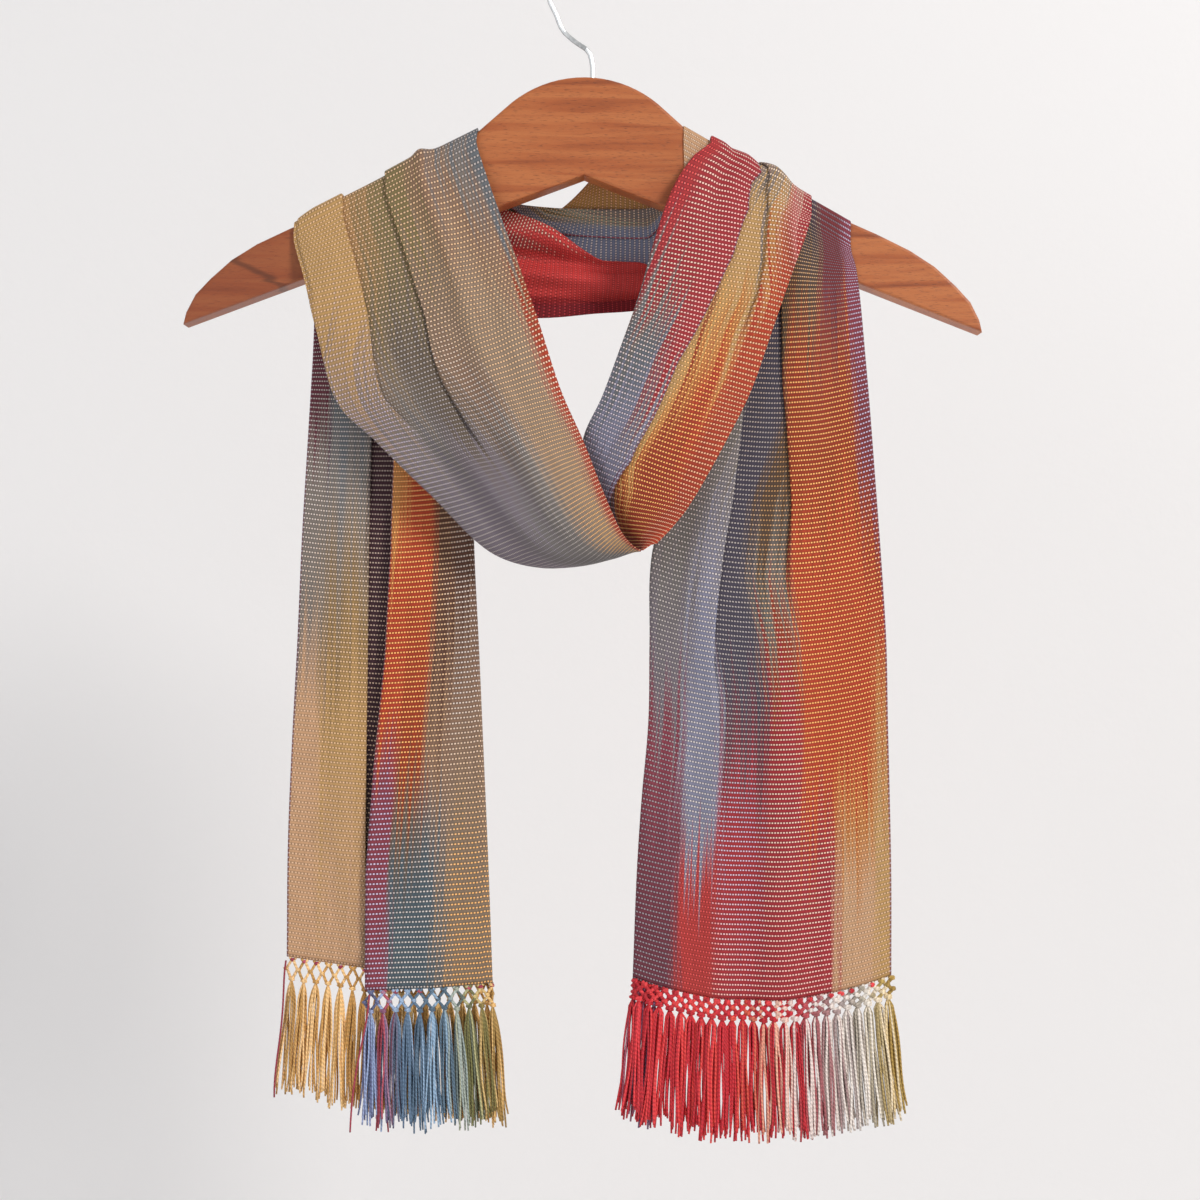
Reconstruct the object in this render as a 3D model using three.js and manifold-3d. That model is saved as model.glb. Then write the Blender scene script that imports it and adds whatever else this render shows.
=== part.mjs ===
// A woven scarf wound once round a wooden coat hanger: a loop hangs in front, one stretch goes round
// behind the neck on each turn, and both ends hang as tails with knotted fringes.
// Millimetres, +Z up, the front faces -Y. The origin is the highest point inside the hook's crook,
// where a rail or a nail carries the hanger.
import * as THREE from 'three';
import { mergeVertices } from 'three/addons/utils/BufferGeometryUtils.js';
import Module from 'manifold-3d';

const wasm = await Module();
wasm.setup();

// ---------- driving dimensions ----------
const WALL = 1;              // cloth, in the hand of a firm handwoven rep
const SEAM = 0.3;            // between two stretches, or cloth and wood
const PITCH = 1.6;           // from one folded layer to the next
const OPEN_FOLD = 0.002;     // the share of a turn that counts as lying open
const CLEAR_OF_FOLD = 1.2;   // plain cloth beside a pleat's own columns
const LOOP_STEP = 25;        // longest distance between two sections of the loop and neck
const TAIL_STEP = 60;        // and of a tail, which hangs straight
const BOARD = { thickness: 18, edge: 1.6, centreX: -5, topZ: -76.7, tilt: -0.0099 };
const HUMP = { radius: 64.7, halfWidth: 44.6 };
const HOOK = { wire: 1.4, bend: 26, screwDepth: 20, holeSlack: 0.35 };
const FRINGE = { net: 12, netWall: 1.4, length: 64, root: 0.5, radius: 0.85, tip: 0.45, bundle: 3 };

// half of the board's top edge from the hump outwards, and its underside, from the middle of the top
const ARM_TOP = [[62.5, -33.7], [70.8, -41], [148.3, -79.5], [163.9, -86.2]];
const ARM_END = [[182.3, -95.1], [196.3, -104], [208, -114.6], [216.3, -123.5], [221.4, -133.5],
  [223, -140.2]];
const NOTCH = [0, -54.9];

// ---------- small helpers ----------
const lerp = THREE.MathUtils.lerp;
const clamp = THREE.MathUtils.clamp;
const vec = (x, y, z) => new THREE.Vector3(x, y, z);

// a table's row at a station, straight between its entries and held at both ends
function lookUp(table, station) {
  if (station <= table[0][0]) {
    return table[0];
  }
  for (let i = 1; i < table.length; i += 1) {
    if (station <= table[i][0]) {
      const t = (station - table[i - 1][0]) / (table[i][0] - table[i - 1][0]);
      return table[i].map((value, k) => lerp(table[i - 1][k], value, t));
    }
  }
  return table[table.length - 1];
}

// the same on a smooth curve, for the sections of a stretch
function smoothRow(rows, station) {
  let i = 0;
  while (i < rows.length - 2 && station > rows[i + 1][0]) {
    i += 1;
  }
  const slope = (j, k) => {
    const a = Math.max(j - 1, 0);
    const b = Math.min(j + 1, rows.length - 1);
    return (rows[b][k] - rows[a][k]) / (rows[b][0] - rows[a][0]);
  };
  const span = rows[i + 1][0] - rows[i][0];
  const t = (station - rows[i][0]) / span;
  const t2 = t * t;
  const t3 = t2 * t;
  return rows[i].map((value, k) => (2 * t3 - 3 * t2 + 1) * value + (t3 - 2 * t2 + t) * span * slope(i, k)
    + (3 * t2 - 2 * t3) * rows[i + 1][k] + (t3 - t2) * span * slope(i + 1, k));
}

function solidOf(geometry) {
  const bare = geometry.index ? geometry.clone() : geometry;
  bare.deleteAttribute('normal');
  bare.deleteAttribute('uv');
  const merged = mergeVertices(bare, 1e-4);
  return new wasm.Manifold(new wasm.Mesh({
    numProp: 3,
    vertProperties: new Float32Array(merged.attributes.position.array),
    triVerts: new Uint32Array(merged.index.array),
  }));
}

function geometryOf(solid) {
  const mesh = solid.getMesh();
  const geometry = new THREE.BufferGeometry();
  geometry.setAttribute('position', new THREE.BufferAttribute(new Float32Array(mesh.vertProperties), 3));
  geometry.setIndex(new THREE.BufferAttribute(new Uint32Array(mesh.triVerts), 1));
  geometry.computeVertexNormals();
  return geometry;
}

// ---------- hanger ----------
// height of the board's top edge at x, with the slight lean that it hangs at
function boardTop(x) {
  const lean = (x - BOARD.centreX) * BOARD.tilt;
  const upright = Math.abs(x - BOARD.centreX);
  const sideways = BOARD.tilt * lookUp([[0, 0], ...ARM_TOP, ...ARM_END], upright)[1];
  const out = Math.abs(x - BOARD.centreX + sideways);
  if (out < HUMP.halfWidth) {
    return BOARD.topZ + lean - HUMP.radius + Math.sqrt(HUMP.radius ** 2 - out ** 2);
  }
  const corner = -HUMP.radius + Math.sqrt(HUMP.radius ** 2 - HUMP.halfWidth ** 2);
  const edge = [[HUMP.halfWidth, corner], ...ARM_TOP, ...ARM_END];
  return BOARD.topZ + lean + lookUp(edge, out)[1];
}

function hangerBoard() {
  const outline = new THREE.Shape();
  const sweep = Math.asin(HUMP.halfWidth / HUMP.radius);
  outline.moveTo(NOTCH[0], NOTCH[1]);
  const right = [...ARM_TOP, ...ARM_END].reverse();
  right.forEach(([x, z]) => outline.lineTo(x, z));
  outline.absarc(0, -HUMP.radius, HUMP.radius, Math.PI / 2 - sweep, Math.PI / 2 + sweep, false);
  [...ARM_TOP, ...ARM_END].forEach(([x, z]) => outline.lineTo(-x, z));
  outline.closePath();
  const flat = new THREE.ExtrudeGeometry(outline, {
    depth: BOARD.thickness - 2 * BOARD.edge,
    bevelEnabled: true,
    bevelThickness: BOARD.edge,
    bevelSize: BOARD.edge,
    bevelOffset: -BOARD.edge,
    bevelSegments: 2,
    curveSegments: 10,
  });
  flat.translate(0, 0, -BOARD.thickness / 2 + BOARD.edge);
  flat.rotateX(Math.PI / 2);
  flat.rotateY(-BOARD.tilt);
  flat.translate(BOARD.centreX, 0, BOARD.topZ);
  const hole = new THREE.CylinderGeometry(HOOK.wire + HOOK.holeSlack, HOOK.wire + HOOK.holeSlack,
    HOOK.screwDepth * 2, 12);
  hole.rotateX(Math.PI / 2);
  hole.translate(STEM_X, 0, boardTop(STEM_X));
  return geometryOf(solidOf(flat).subtract(solidOf(hole)));
}

const STEM_X = -0.9;
function hangerHook() {
  const foot = boardTop(STEM_X) - HOOK.screwDepth + 1;
  const stem = [[STEM_X, foot], [STEM_X, foot + 12], [STEM_X, -76], [-1.1, -67], [-3.2, -60.3], [-7.4, -57.2],
    [-12.9, -53.2], [-17.9, -48]];
  const centreZ = HOOK.wire - HOOK.bend;
  const route = stem.map(([x, z]) => vec(x, 0, z));
  for (let degrees = 214; degrees >= -10; degrees -= 16) {
    const angle = THREE.MathUtils.degToRad(degrees);
    route.push(vec(HOOK.bend * Math.cos(angle), 0, centreZ + HOOK.bend * Math.sin(angle)));
  }
  const section = new THREE.Shape();
  section.absarc(0, 0, HOOK.wire, 0, 2 * Math.PI);
  return new THREE.ExtrudeGeometry(section, {
    steps: 44,
    curveSegments: 4,
    extrudePath: new THREE.CatmullRomCurve3(route),
  });
}

// ---------- cloth ----------
// rows of a stretch where it lies over an arm, from the back to the front:
// station, outer x y z, inner x y z, swell, droop
function overArm({ leftX, rightX, clear, backClear, backDrop, frontDrop, span = [leftX, rightX] }) {
  const armLine = (x) => lerp(boardTop(span[0]), boardTop(span[1]), (x - span[0]) / (span[1] - span[0]));
  const turn = BOARD.edge + clear;
  const flat = BOARD.thickness / 2 - BOARD.edge;
  const low = BOARD.thickness / 2 + clear;
  const backLow = BOARD.thickness / 2 + backClear;
  const section = [
    [0, backLow, -backDrop],
    [backDrop - 2, (low + backLow) / 2, -BOARD.edge],
    [backDrop + turn * 0.8 - 2, flat + turn * 0.71, turn * 0.71 - BOARD.edge],
    [backDrop + turn * 1.6 - 2, flat, clear],
    [backDrop + turn * 1.6 + flat - 2, 0, clear],
  ];
  const middle = section[4][0];
  const front = [3, 2].map((i) => [2 * middle - section[i][0], -section[i][1], section[i][2]]);
  const facing = 2 * middle - section[1][0];
  section.push(...front, [facing, -low, -BOARD.edge], [facing + frontDrop - 2, -low, -frontDrop]);
  return section.map(([station, y, z]) => [station, leftX, y, armLine(leftX) + z,
    rightX, y, armLine(rightX) + z, 0, 0]);
}

// Columns of one pleat across the cloth, as [across, lift]: the layer on top turns down by the fold's
// angle, runs back for the tuck and turns up again. fold goes from 0, flat, to 1, folded right under.
// top is 1 where the first side of the cloth lies on top, -1 where the other side does.
function pleatColumns(at, tuck, fold, top, arc) {
  const radius = foldRadius(PITCH, fold);
  const angle = Math.PI * Math.max(fold, OPEN_FOLD);
  const height = pleatHeight(tuck, fold);
  const edge = foldEdge(fold);
  const points = [];
  for (let k = 0; k <= arc; k += 1) {
    const turned = angle * k / arc;
    points.push([radius * Math.sin(turned), height - radius + radius * Math.cos(turned)]);
  }
  const [x, z] = points[arc];
  const centre = [x + tuck * Math.cos(angle) + radius * Math.sin(angle),
    z - tuck * Math.sin(angle) + radius * Math.cos(angle)];
  for (let k = arc; k >= 0; k -= 1) {
    const turned = angle * k / arc;
    points.push([centre[0] - radius * Math.sin(turned), centre[1] - radius * Math.cos(turned)]);
  }
  const placed = points.map(([s, d]) => [at + top * (s - edge), d]);
  return top > 0 ? placed : placed.reverse();
}

function pleatHeight(tuck, fold) {
  const angle = Math.PI * Math.max(fold, OPEN_FOLD);
  return 2 * foldRadius(PITCH, fold) * (1 - Math.cos(angle)) + tuck * Math.sin(angle);
}

// A fold keeps its length of cloth while it opens, so its radius grows.
function foldRadius(pitch, fold) {
  return pitch / 2 / Math.max(fold, OPEN_FOLD);
}

// how far a pleat's top layer rounds out past the place where its turn begins
function foldEdge(fold) {
  return foldRadius(PITCH, fold) * Math.sin(Math.PI * clamp(fold, OPEN_FOLD, 0.5));
}

// Columns of a turned edge, from the free selvedge to the fold; side 1 turns it outwards.
function turnColumns(width, curl, pitch, side, count, arc) {
  const radius = foldRadius(pitch, curl);
  const angle = Math.PI * Math.max(curl, OPEN_FOLD);
  const free = [radius - radius * Math.sin(angle), radius - radius * Math.cos(angle)];
  const points = [];
  for (let k = 0; k < count; k += 1) {
    const run = width * (1 - k / count);
    points.push([free[0] - run * Math.cos(angle), free[1] + run * Math.sin(angle)]);
  }
  for (let k = arc; k >= 0; k -= 1) {
    const turned = angle * k / arc;
    points.push([radius - radius * Math.sin(turned), radius - radius * Math.cos(turned)]);
  }
  const reach = Math.min(...points.map(([s]) => s));
  return points.map(([s, d]) => [s - reach, side * d]);
}

// The section of a stretch at one station, as [across in mm, lift in mm].
function sectionOf(stretch, station, width) {
  const arc = stretch.arc ?? 2;
  const ridges = stretch.ridges ?? [];
  const pleats = (stretch.pleats ?? []).map((pleat) => {
    const [, at, tuck, fold] = lookUp(pleat.table, station);
    const columns = pleatColumns(at * width, tuck, fold, pleat.top, arc);
    const reach = foldEdge(fold) + CLEAR_OF_FOLD - tuck * Math.min(0, Math.cos(Math.PI * fold));
    return { ...pleat, at: at * width, reach, height: pleatHeight(tuck, fold), columns };
  });
  let columns = [];
  let from = 0;
  if (stretch.firstEdge) {
    const [, turned, curl, pitch] = lookUp(stretch.firstEdge.table, station);
    columns = turnColumns(turned, curl, pitch, stretch.firstEdge.side, stretch.firstEdge.count, arc);
    from = columns[columns.length - 1][0];
  }
  let last = [];
  let to = width;
  if (stretch.lastEdge) {
    const [, turned, curl, pitch] = lookUp(stretch.lastEdge.table, station);
    last = turnColumns(turned, curl, pitch, stretch.lastEdge.side, stretch.lastEdge.count, arc).reverse();
    last = last.map(([s, d]) => [width - s, d]);
    to = last[0][0];
  }
  const bands = [{ columns }, ...pleats, { columns: last }];
  const section = columns.map(([s, d]) => [s, d]);
  for (let band = 1; band < bands.length; band += 1) {
    const next = bands[band].columns;
    const start = band === 1 ? from : section[section.length - 1][0];
    const end = next.length ? next[0][0] : to;
    const before = bands[band - 1];
    const after = bands[band];
    const places = plainPlaces(start, end, stretch.plain[band - 1], before, after);
    places.slice(section.length ? 1 : 0, next.length ? -1 : undefined).forEach((s) => {
      let lift = 0;
      if (before.top < 0) {
        lift += before.height * slope(s - before.at - before.reach, before.ramp);
      }
      if (after.top > 0) {
        lift += after.height * slope(after.at - after.reach - s, after.ramp);
      }
      section.push([s, lift]);
    });
    section.push(...next);
  }
  const swell = smoothRow(stretch.rows, station)[7];
  return section.map(([s, d]) => {
    const share = clamp(s / width, 0, 1);
    let lift = d + swell * 4 * share * (1 - share);
    ridges.forEach(({ table, half }) => {
      const [, at, height] = lookUp(table, station);
      lift += height * Math.exp(-(((s - at * width) / half) ** 2));
    });
    return [s, lift];
  });
}

// Places of the plain columns between two folds. A layer that lies on a pleat stays up as far as the
// pleat reaches under it, so one column stands there.
function plainPlaces(start, end, parts, before, after) {
  const places = [start];
  let from = start;
  let to = end;
  let count = parts;
  if (before.top < 0) {
    from = Math.min(before.at + before.reach, lerp(start, end, 0.5));
    places.push(from);
    count -= 1;
  }
  if (after.top > 0) {
    to = Math.max(after.at - after.reach, lerp(start, end, 0.5));
    count -= 1;
  }
  for (let k = 1; k <= count; k += 1) {
    places.push(lerp(from, to, k / count));
  }
  if (after.top > 0) {
    places.push(end);
  }
  return places;
}

// how much of a pleat's lift is left at a distance from its edge
function slope(distance, ramp) {
  const t = clamp(1 - distance / ramp, 0, 1);
  return t * t * (3 - 2 * t);
}

function stationsOf(rows, rowStep) {
  const stations = [];
  for (let i = 0; i < rows.length - 1; i += 1) {
    const parts = Math.ceil((rows[i + 1][0] - rows[i][0]) / rowStep);
    for (let k = 0; k < parts; k += 1) {
      stations.push(lerp(rows[i][0], rows[i + 1][0], k / parts));
    }
  }
  stations.push(rows[rows.length - 1][0]);
  return stations;
}

// Middle surface of a stretch: a grid of points, a list of columns for each station.
function surfaceOf(stretch) {
  const { rows, lastEdge } = stretch;
  const last = rows[rows.length - 1][0];
  return stationsOf(rows, stretch.rowStep).map((station) => {
    const row = smoothRow(rows, station);
    const step = 1;
    const behind = smoothRow(rows, Math.max(station - step, rows[0][0]));
    const ahead = smoothRow(rows, Math.min(station + step, last));
    const left = vec(row[1], row[2], row[3]);
    const across = vec(row[4], row[5], row[6]).sub(left);
    const width = across.length();
    across.normalize();
    const leftGoes = vec(ahead[1] - behind[1], ahead[2] - behind[2], ahead[3] - behind[3]);
    const rightGoes = vec(ahead[4] - behind[4], ahead[5] - behind[5], ahead[6] - behind[6]);
    const section = sectionOf(stretch, station, width);
    const lastFold = lastEdge?.fall ? section.length - 1 - lastEdge.count : section.length;
    return section.map(([s, lift], column) => {
      const share = clamp(s / width, 0, 1);
      const outward = leftGoes.clone().lerp(rightGoes, share).cross(across).normalize();
      const point = left.clone().addScaledVector(across, s).addScaledVector(outward, lift);
      point.z -= row[8] * 4 * share * (1 - share);
      if (column > lastFold) {
        const turned = Math.max(lookUp(lastEdge.table, station)[1], 1);
        point.z -= lookUp(lastEdge.fall, station)[1] * (width - s) / turned;
      }
      return point;
    });
  });
}

// A closed wall of even thickness on both sides of a grid of points.
function wallOn(grid, wall) {
  const rowCount = grid.length;
  const columnCount = grid[0].length;
  const positions = [];
  const corner = (r, c) => grid[clamp(r, 0, rowCount - 1)][clamp(c, 0, columnCount - 1)];
  for (const side of [1, -1]) {
    for (let r = 0; r < rowCount; r += 1) {
      for (let c = 0; c < columnCount; c += 1) {
        const along = corner(r + 1, c).clone().sub(corner(r - 1, c));
        const across = corner(r, c + 1).clone().sub(corner(r, c - 1));
        const outward = along.cross(across).normalize();
        const point = grid[r][c].clone().addScaledVector(outward, side * wall / 2);
        positions.push(point.x, point.y, point.z);
      }
    }
  }
  const index = [];
  const face = (a, b, c, d) => index.push(a, b, d, b, c, d);
  const front = (r, c) => r * columnCount + c;
  const back = (r, c) => rowCount * columnCount + r * columnCount + c;
  for (let r = 0; r < rowCount - 1; r += 1) {
    for (let c = 0; c < columnCount - 1; c += 1) {
      face(front(r, c), front(r + 1, c), front(r + 1, c + 1), front(r, c + 1));
      face(back(r, c), back(r, c + 1), back(r + 1, c + 1), back(r + 1, c));
    }
    face(front(r, 0), back(r, 0), back(r + 1, 0), front(r + 1, 0));
    const e = columnCount - 1;
    face(front(r, e), front(r + 1, e), back(r + 1, e), back(r, e));
  }
  for (let c = 0; c < columnCount - 1; c += 1) {
    const e = rowCount - 1;
    face(front(0, c), front(0, c + 1), back(0, c + 1), back(0, c));
    face(front(e, c), back(e, c), back(e, c + 1), front(e, c + 1));
  }
  const geometry = new THREE.BufferGeometry();
  geometry.setAttribute('position', new THREE.Float32BufferAttribute(positions, 3));
  geometry.setIndex(index);
  geometry.computeVertexNormals();
  return geometry;
}

// ---------- the six stretches ----------
// Rows: station, left or upper edge x y z, right or lower edge x y z, swell, droop.
// The two loop stretches and the tails run from the back over an arm and down in front.
const TAIL_CLEAR = WALL / 2 + 2.4 * SEAM;
const LOOP_CLEAR = TAIL_CLEAR + WALL + 2 * SEAM;
const RIGHT_ARM_SPAN = [50, 143];
const LOOP_BACK = 5;
const LOOP_END = [17.2, -9, -342.4, 25.5, -42, -342.1];

const loopLeft = {
  rowStep: LOOP_STEP,
  rows: [
    ...overArm({ leftX: -167, rightX: -65, clear: LOOP_CLEAR, backClear: LOOP_BACK, backDrop: 26,
      frontDrop: 13 }),
    [76, -161, -17, -189, -52, -15.5, -155, 1, 2],
    [108, -153, -22, -220, -41, -20, -185, 3, 4],
    [147, -141, -28, -260, -30, -26, -217, 6, 5],
    [178, -119, -33, -282, -18.5, -31, -253, 8, 4],
    [214, -89, -36, -311, -6, -37, -282, 9, 3],
    [250, -57, -34, -342, 5.5, -41, -311, 8, 2],
    [276, -27, -27, -351, 14, -43, -330, 6, 1],
    [300, 2, -17, -346.5, 20.6, -43, -338.8, 3, 0],
    [318, ...LOOP_END, 0, 0],
  ],
  firstEdge: { side: -1, count: 2, table: [[0, 1, 0, PITCH], [84, 1, 0, PITCH], [96, 1, 1, PITCH],
    [125, 16, 1, PITCH], [270, 16, 1, PITCH], [295, 1, 1, PITCH], [310, 1, 0, PITCH]] },
  pleats: [
    { top: 1, ramp: 22, table: [[0, 0.27, 14, 1], [105, 0.26, 14, 1], [155, 0.21, 0.5, 1],
      [185, 0.22, 0.5, 0], [300, 0.33, 0.5, 0]] },
    { top: -1, ramp: 20, table: [[0, 0.49, 14, 1], [118, 0.52, 13, 1], [172, 0.49, 0.5, 1],
      [206, 0.47, 0.5, 0], [300, 0.6, 0.5, 0]] },
  ],
  ridges: [
    { half: 7, table: [[0, 0.67, 0], [60, 0.68, 1.5], [110, 0.7, 4], [180, 0.7, 4], [214, 0.58, 4],
      [250, 0.5, 3], [300, 0.5, 0]] },
    { half: 9, table: [[140, 0.48, 0], [178, 0.48, -3], [214, 0.39, -4], [250, 0.38, -2], [285, 0.4, 0]] },
  ],
  plain: [3, 3, 7],
};

const loopRight = {
  rowStep: LOOP_STEP,
  rows: [
    ...overArm({ leftX: 65, rightX: 121, clear: LOOP_CLEAR, backClear: LOOP_BACK, backDrop: 26, frontDrop: 8,
      span: RIGHT_ARM_SPAN }),
    [66, 44, -17, -141, 119, -16, -161, 1, 1],
    [92, 34, -20, -170, 110, -21, -185, 4, 2],
    [122, 25.5, -23, -200, 99.5, -26, -215, 6, 3],
    [155, 16, -25, -227, 86.5, -31, -252, 7, 3],
    [185, 5, -25, -257, 73.6, -36, -278, 7, 3],
    [213, -5.5, -23, -281, 57.6, -40, -307, 6, 2],
    [236, -5, -19, -305, 47.7, -42, -322, 5, 1],
    [258, 3.5, -14, -327, 36.3, -43, -334.5, 3, 0],
    [278, LOOP_END[0] + 1.6, LOOP_END[1], LOOP_END[2] + 0.8, LOOP_END[3] + 1.6, LOOP_END[4],
      LOOP_END[5] + 0.8, 0, 0],
  ],
  firstEdge: { side: 1, count: 4, table: [[0, 20, 1, PITCH], [47, 30, 1, PITCH], [66, 38, 1, 2],
    [92, 40, 1, 2.4], [155, 31, 1, 2.6], [213, 30, 1, 2.4], [240, 14, 1, 2], [260, 1, 1, PITCH],
    [270, 1, 0, PITCH]] },
  lastEdge: { side: -1, count: 2, table: [[0, 1, 0, PITCH], [66, 1, 0, PITCH], [76, 1, 1, PITCH],
    [110, 15, 1, PITCH], [220, 15, 1, PITCH], [250, 1, 1, PITCH], [268, 1, 0, PITCH]] },
  pleats: [
    { top: -1, ramp: 14, table: [[0, 0.55, 9, 1], [47, 0.55, 9, 1], [66, 0.7, 9, 1],
      [92, 0.8, 6, 1], [115, 0.82, 0.4, 1], [140, 0.78, 0.4, 0], [258, 0.66, 0.4, 0]] },
  ],
  ridges: [{ half: 10, table: [[92, 0.3, 0], [140, 0.35, 2], [200, 0.4, 3], [250, 0.5, 0]] }],
  plain: [5, 4],
};

const tailRight = {
  rowStep: TAIL_STEP,
  rows: [
    ...overArm({ leftX: RIGHT_ARM_SPAN[0], rightX: RIGHT_ARM_SPAN[1], clear: TAIL_CLEAR,
      backClear: TAIL_CLEAR, backDrop: 26, frontDrop: 14 }),
    [90, 52, -9.9, -165, 146, -9.9, -184, 0, 3],
    [116, 53, -10.6, -201, 148.3, -10.4, -202, 0, 6],
    [144, 52.6, -10.6, -229, 150.8, -10.6, -229.5, 0.5, 7.5],
    [172, 52, -10.6, -257, 153.2, -10.8, -257, 1, 9],
    [217, 43.5, -10.6, -301, 156.5, -11, -301, 1.5, 10],
    [262, 32.5, -10.6, -344, 159.8, -11, -346, 2, 11],
    [310, 31.5, -10.6, -391, 162.6, -11, -392, 2, 11],
    [354, 30.5, -10.6, -435.5, 163.5, -11, -435.5, 2, 11],
    [399, 26.7, -10.6, -480, 164.6, -11, -480, 2, 11],
    [444, 24, -10.6, -524.6, 165.4, -11, -524.6, 2, 10],
    [498, 21.7, -10.6, -579, 165.4, -11, -577.5, 2, 13],
  ],
  firstEdge: { side: -1, count: 2, table: [[0, 1, 0, PITCH], [116, 1, 0, PITCH], [172, 1, 1, PITCH],
    [220, 16, 1, 1.8], [460, 16, 1, 2], [498, 14, 1, 2]] },
  pleats: [
    { top: 1, ramp: 16, table: [[0, 0.3, 0.4, 0], [100, 0.3, 0.4, 0], [118, 0.3, 0.4, 1], [150, 0.3, 9, 1],
      [262, 0.3, 9, 1], [300, 0.27, 0.4, 1], [340, 0.26, 0.4, 0]] },
    { top: -1, ramp: 18, table: [[0, 0.54, 0.4, 0], [68, 0.54, 0.4, 0], [82, 0.54, 0.4, 1],
      [105, 0.54, 10, 1], [172, 0.53, 12, 1], [240, 0.61, 7, 1], [275, 0.62, 0.4, 1], [340, 0.6, 0.4, 0]] },
  ],
  ridges: [
    { half: 9, table: [[262, 0.25, 0], [354, 0.3, 3], [498, 0.32, 3]] },
    { half: 12, table: [[262, 0.6, 0], [354, 0.58, 3], [498, 0.58, 3.5]] },
    { half: 8, table: [[262, 0.45, 0], [354, 0.45, -2], [498, 0.45, -1.5]] },
  ],
  plain: [3, 3, 5],
};

const tailLeft = {
  rowStep: TAIL_STEP,
  rows: [
    ...overArm({ leftX: -157, rightX: -76, clear: TAIL_CLEAR, backClear: TAIL_CLEAR, backDrop: 26,
      frontDrop: 14 }),
    [88, -156.5, -9.9, -184, -73, -9.9, -150, 0, 1],
    [120, -156, -10.4, -217.6, -70, -10.4, -200, 0, 2],
    [176, -159, -10.4, -273, -68.5, -10.4, -270, 0.5, 3],
    [238, -162.7, -10.4, -335, -67, -10.4, -337, 1, 3],
    [294, -165.2, -10.4, -391, -64, -10.4, -395, 1, 2],
    [353, -168.3, -10.4, -450, -61.3, -10.4, -457, 1, 1],
    [408, -170.5, -10.4, -505.6, -58.8, -10.4, -515, 1, 1],
    [468, -171.1, -10.4, -567, -56.5, -10.4, -581, 1, 1],
  ],
  lastEdge: { side: 1, count: 5, table: [[0, 1, 0, PITCH], [66, 1, 0, PITCH], [80, 1, 1, PITCH],
    [110, 34, 1, PITCH], [176, 40, 1, 4.6], [238, 43, 1, 5.6], [294, 49, 1, 6], [353, 58, 1, 6],
    [408, 65, 1, 6], [468, 68, 1, 6]], fall: [[176, 0], [468, 11]] },
  pleats: [
    { top: 1, ramp: 16, table: [[0, 0.4, 0.4, 0], [88, 0.4, 0.4, 0], [112, 0.4, 0.4, 1], [176, 0.39, 9, 1],
      [408, 0.39, 9, 1], [450, 0.39, 0.4, 1], [468, 0.39, 0.4, 0]] },
  ],
  ridges: [{ half: 10, table: [[176, 0.72, 0], [294, 0.72, 1.5], [468, 0.72, 2]] }],
  plain: [5, 6],
};

// A neck stretch starts or ends just below the back end of the stretch that it joins.
function neckEnd(station, joined, swapped) {
  const [, lx, ly, lz, rx, ry, rz] = joined.rows[0];
  const left = [lx, ly, lz - 3 * SEAM];
  const right = [rx, ry, rz - 3 * SEAM];
  return swapped ? [station, ...right, ...left, 0, 0] : [station, ...left, ...right, 0, 0];
}

// The two neck stretches run from left to right behind the board; their first edge is the upper one.
const neckUpper = {
  rowStep: LOOP_STEP,
  rows: [
    neckEnd(0, loopLeft, true),
    [28, -51, 20, -141, -120, 22, -203, 2, 0],
    [62, -24, 23, -144, -50, 25, -197, 3, 0],
    [90, 2, 22.5, -145, 0, 24, -177.5, 3, 0],
    [118, 30, 17.5, -145, 34, 18.5, -177.5, 2, 0],
    [150, 44, 12.6, -139, 92, 12.5, -186, 1, 0],
    neckEnd(176, tailRight, false),
  ],
  firstEdge: { side: -1, count: 2, table: [[0, 1, 0, PITCH], [20, 1, 0, PITCH], [40, 1, 1, PITCH],
    [60, 12, 1, PITCH], [112, 12, 1, PITCH], [138, 1, 1, PITCH], [156, 1, 0, PITCH]] },
  lastEdge: { side: 1, count: 4, table: [[0, 1, 0, PITCH], [14, 1, 1, PITCH], [40, 28, 1, PITCH],
    [62, 52, 1, 2], [90, 56, 1, 2], [118, 40, 1, 2], [138, 1, 1, PITCH], [152, 1, 0, PITCH]] },
  plain: [5],
};

const neckLower = {
  rowStep: LOOP_STEP,
  rows: [
    neckEnd(0, tailLeft, true),
    [30, -54, 12.5, -146, -100, 14, -206, 1, 0],
    [62, -26, 15, -155.5, -34, 16, -208, 2, 0],
    [92, 2, 17, -174, 2, 18, -205, 2, 0],
    [118, 30, 24, -181, 28, 24.5, -203, 2, 0],
    [146, 54, 23, -174, 80, 25, -204, 1, 0],
    neckEnd(176, loopRight, false),
  ],
  pleats: [
    { top: 1, ramp: 12, table: [[0, 0.38, 0.4, 0], [16, 0.38, 0.4, 1], [34, 0.42, 12, 1], [62, 0.6, 14, 1],
      [92, 0.42, 9, 1], [118, 0.36, 6, 1], [146, 0.36, 0.4, 1], [170, 0.36, 0.4, 0]] },
    { top: 1, ramp: 6, table: [[0, 0.8, 0.4, 0], [16, 0.8, 0.4, 1], [34, 0.8, 3, 1], [62, 0.86, 3, 1],
      [92, 0.82, 3, 1], [118, 0.8, 3, 1], [146, 0.8, 0.4, 1], [170, 0.8, 0.4, 0]] },
  ],
  plain: [4, 4, 2],
};

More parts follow.
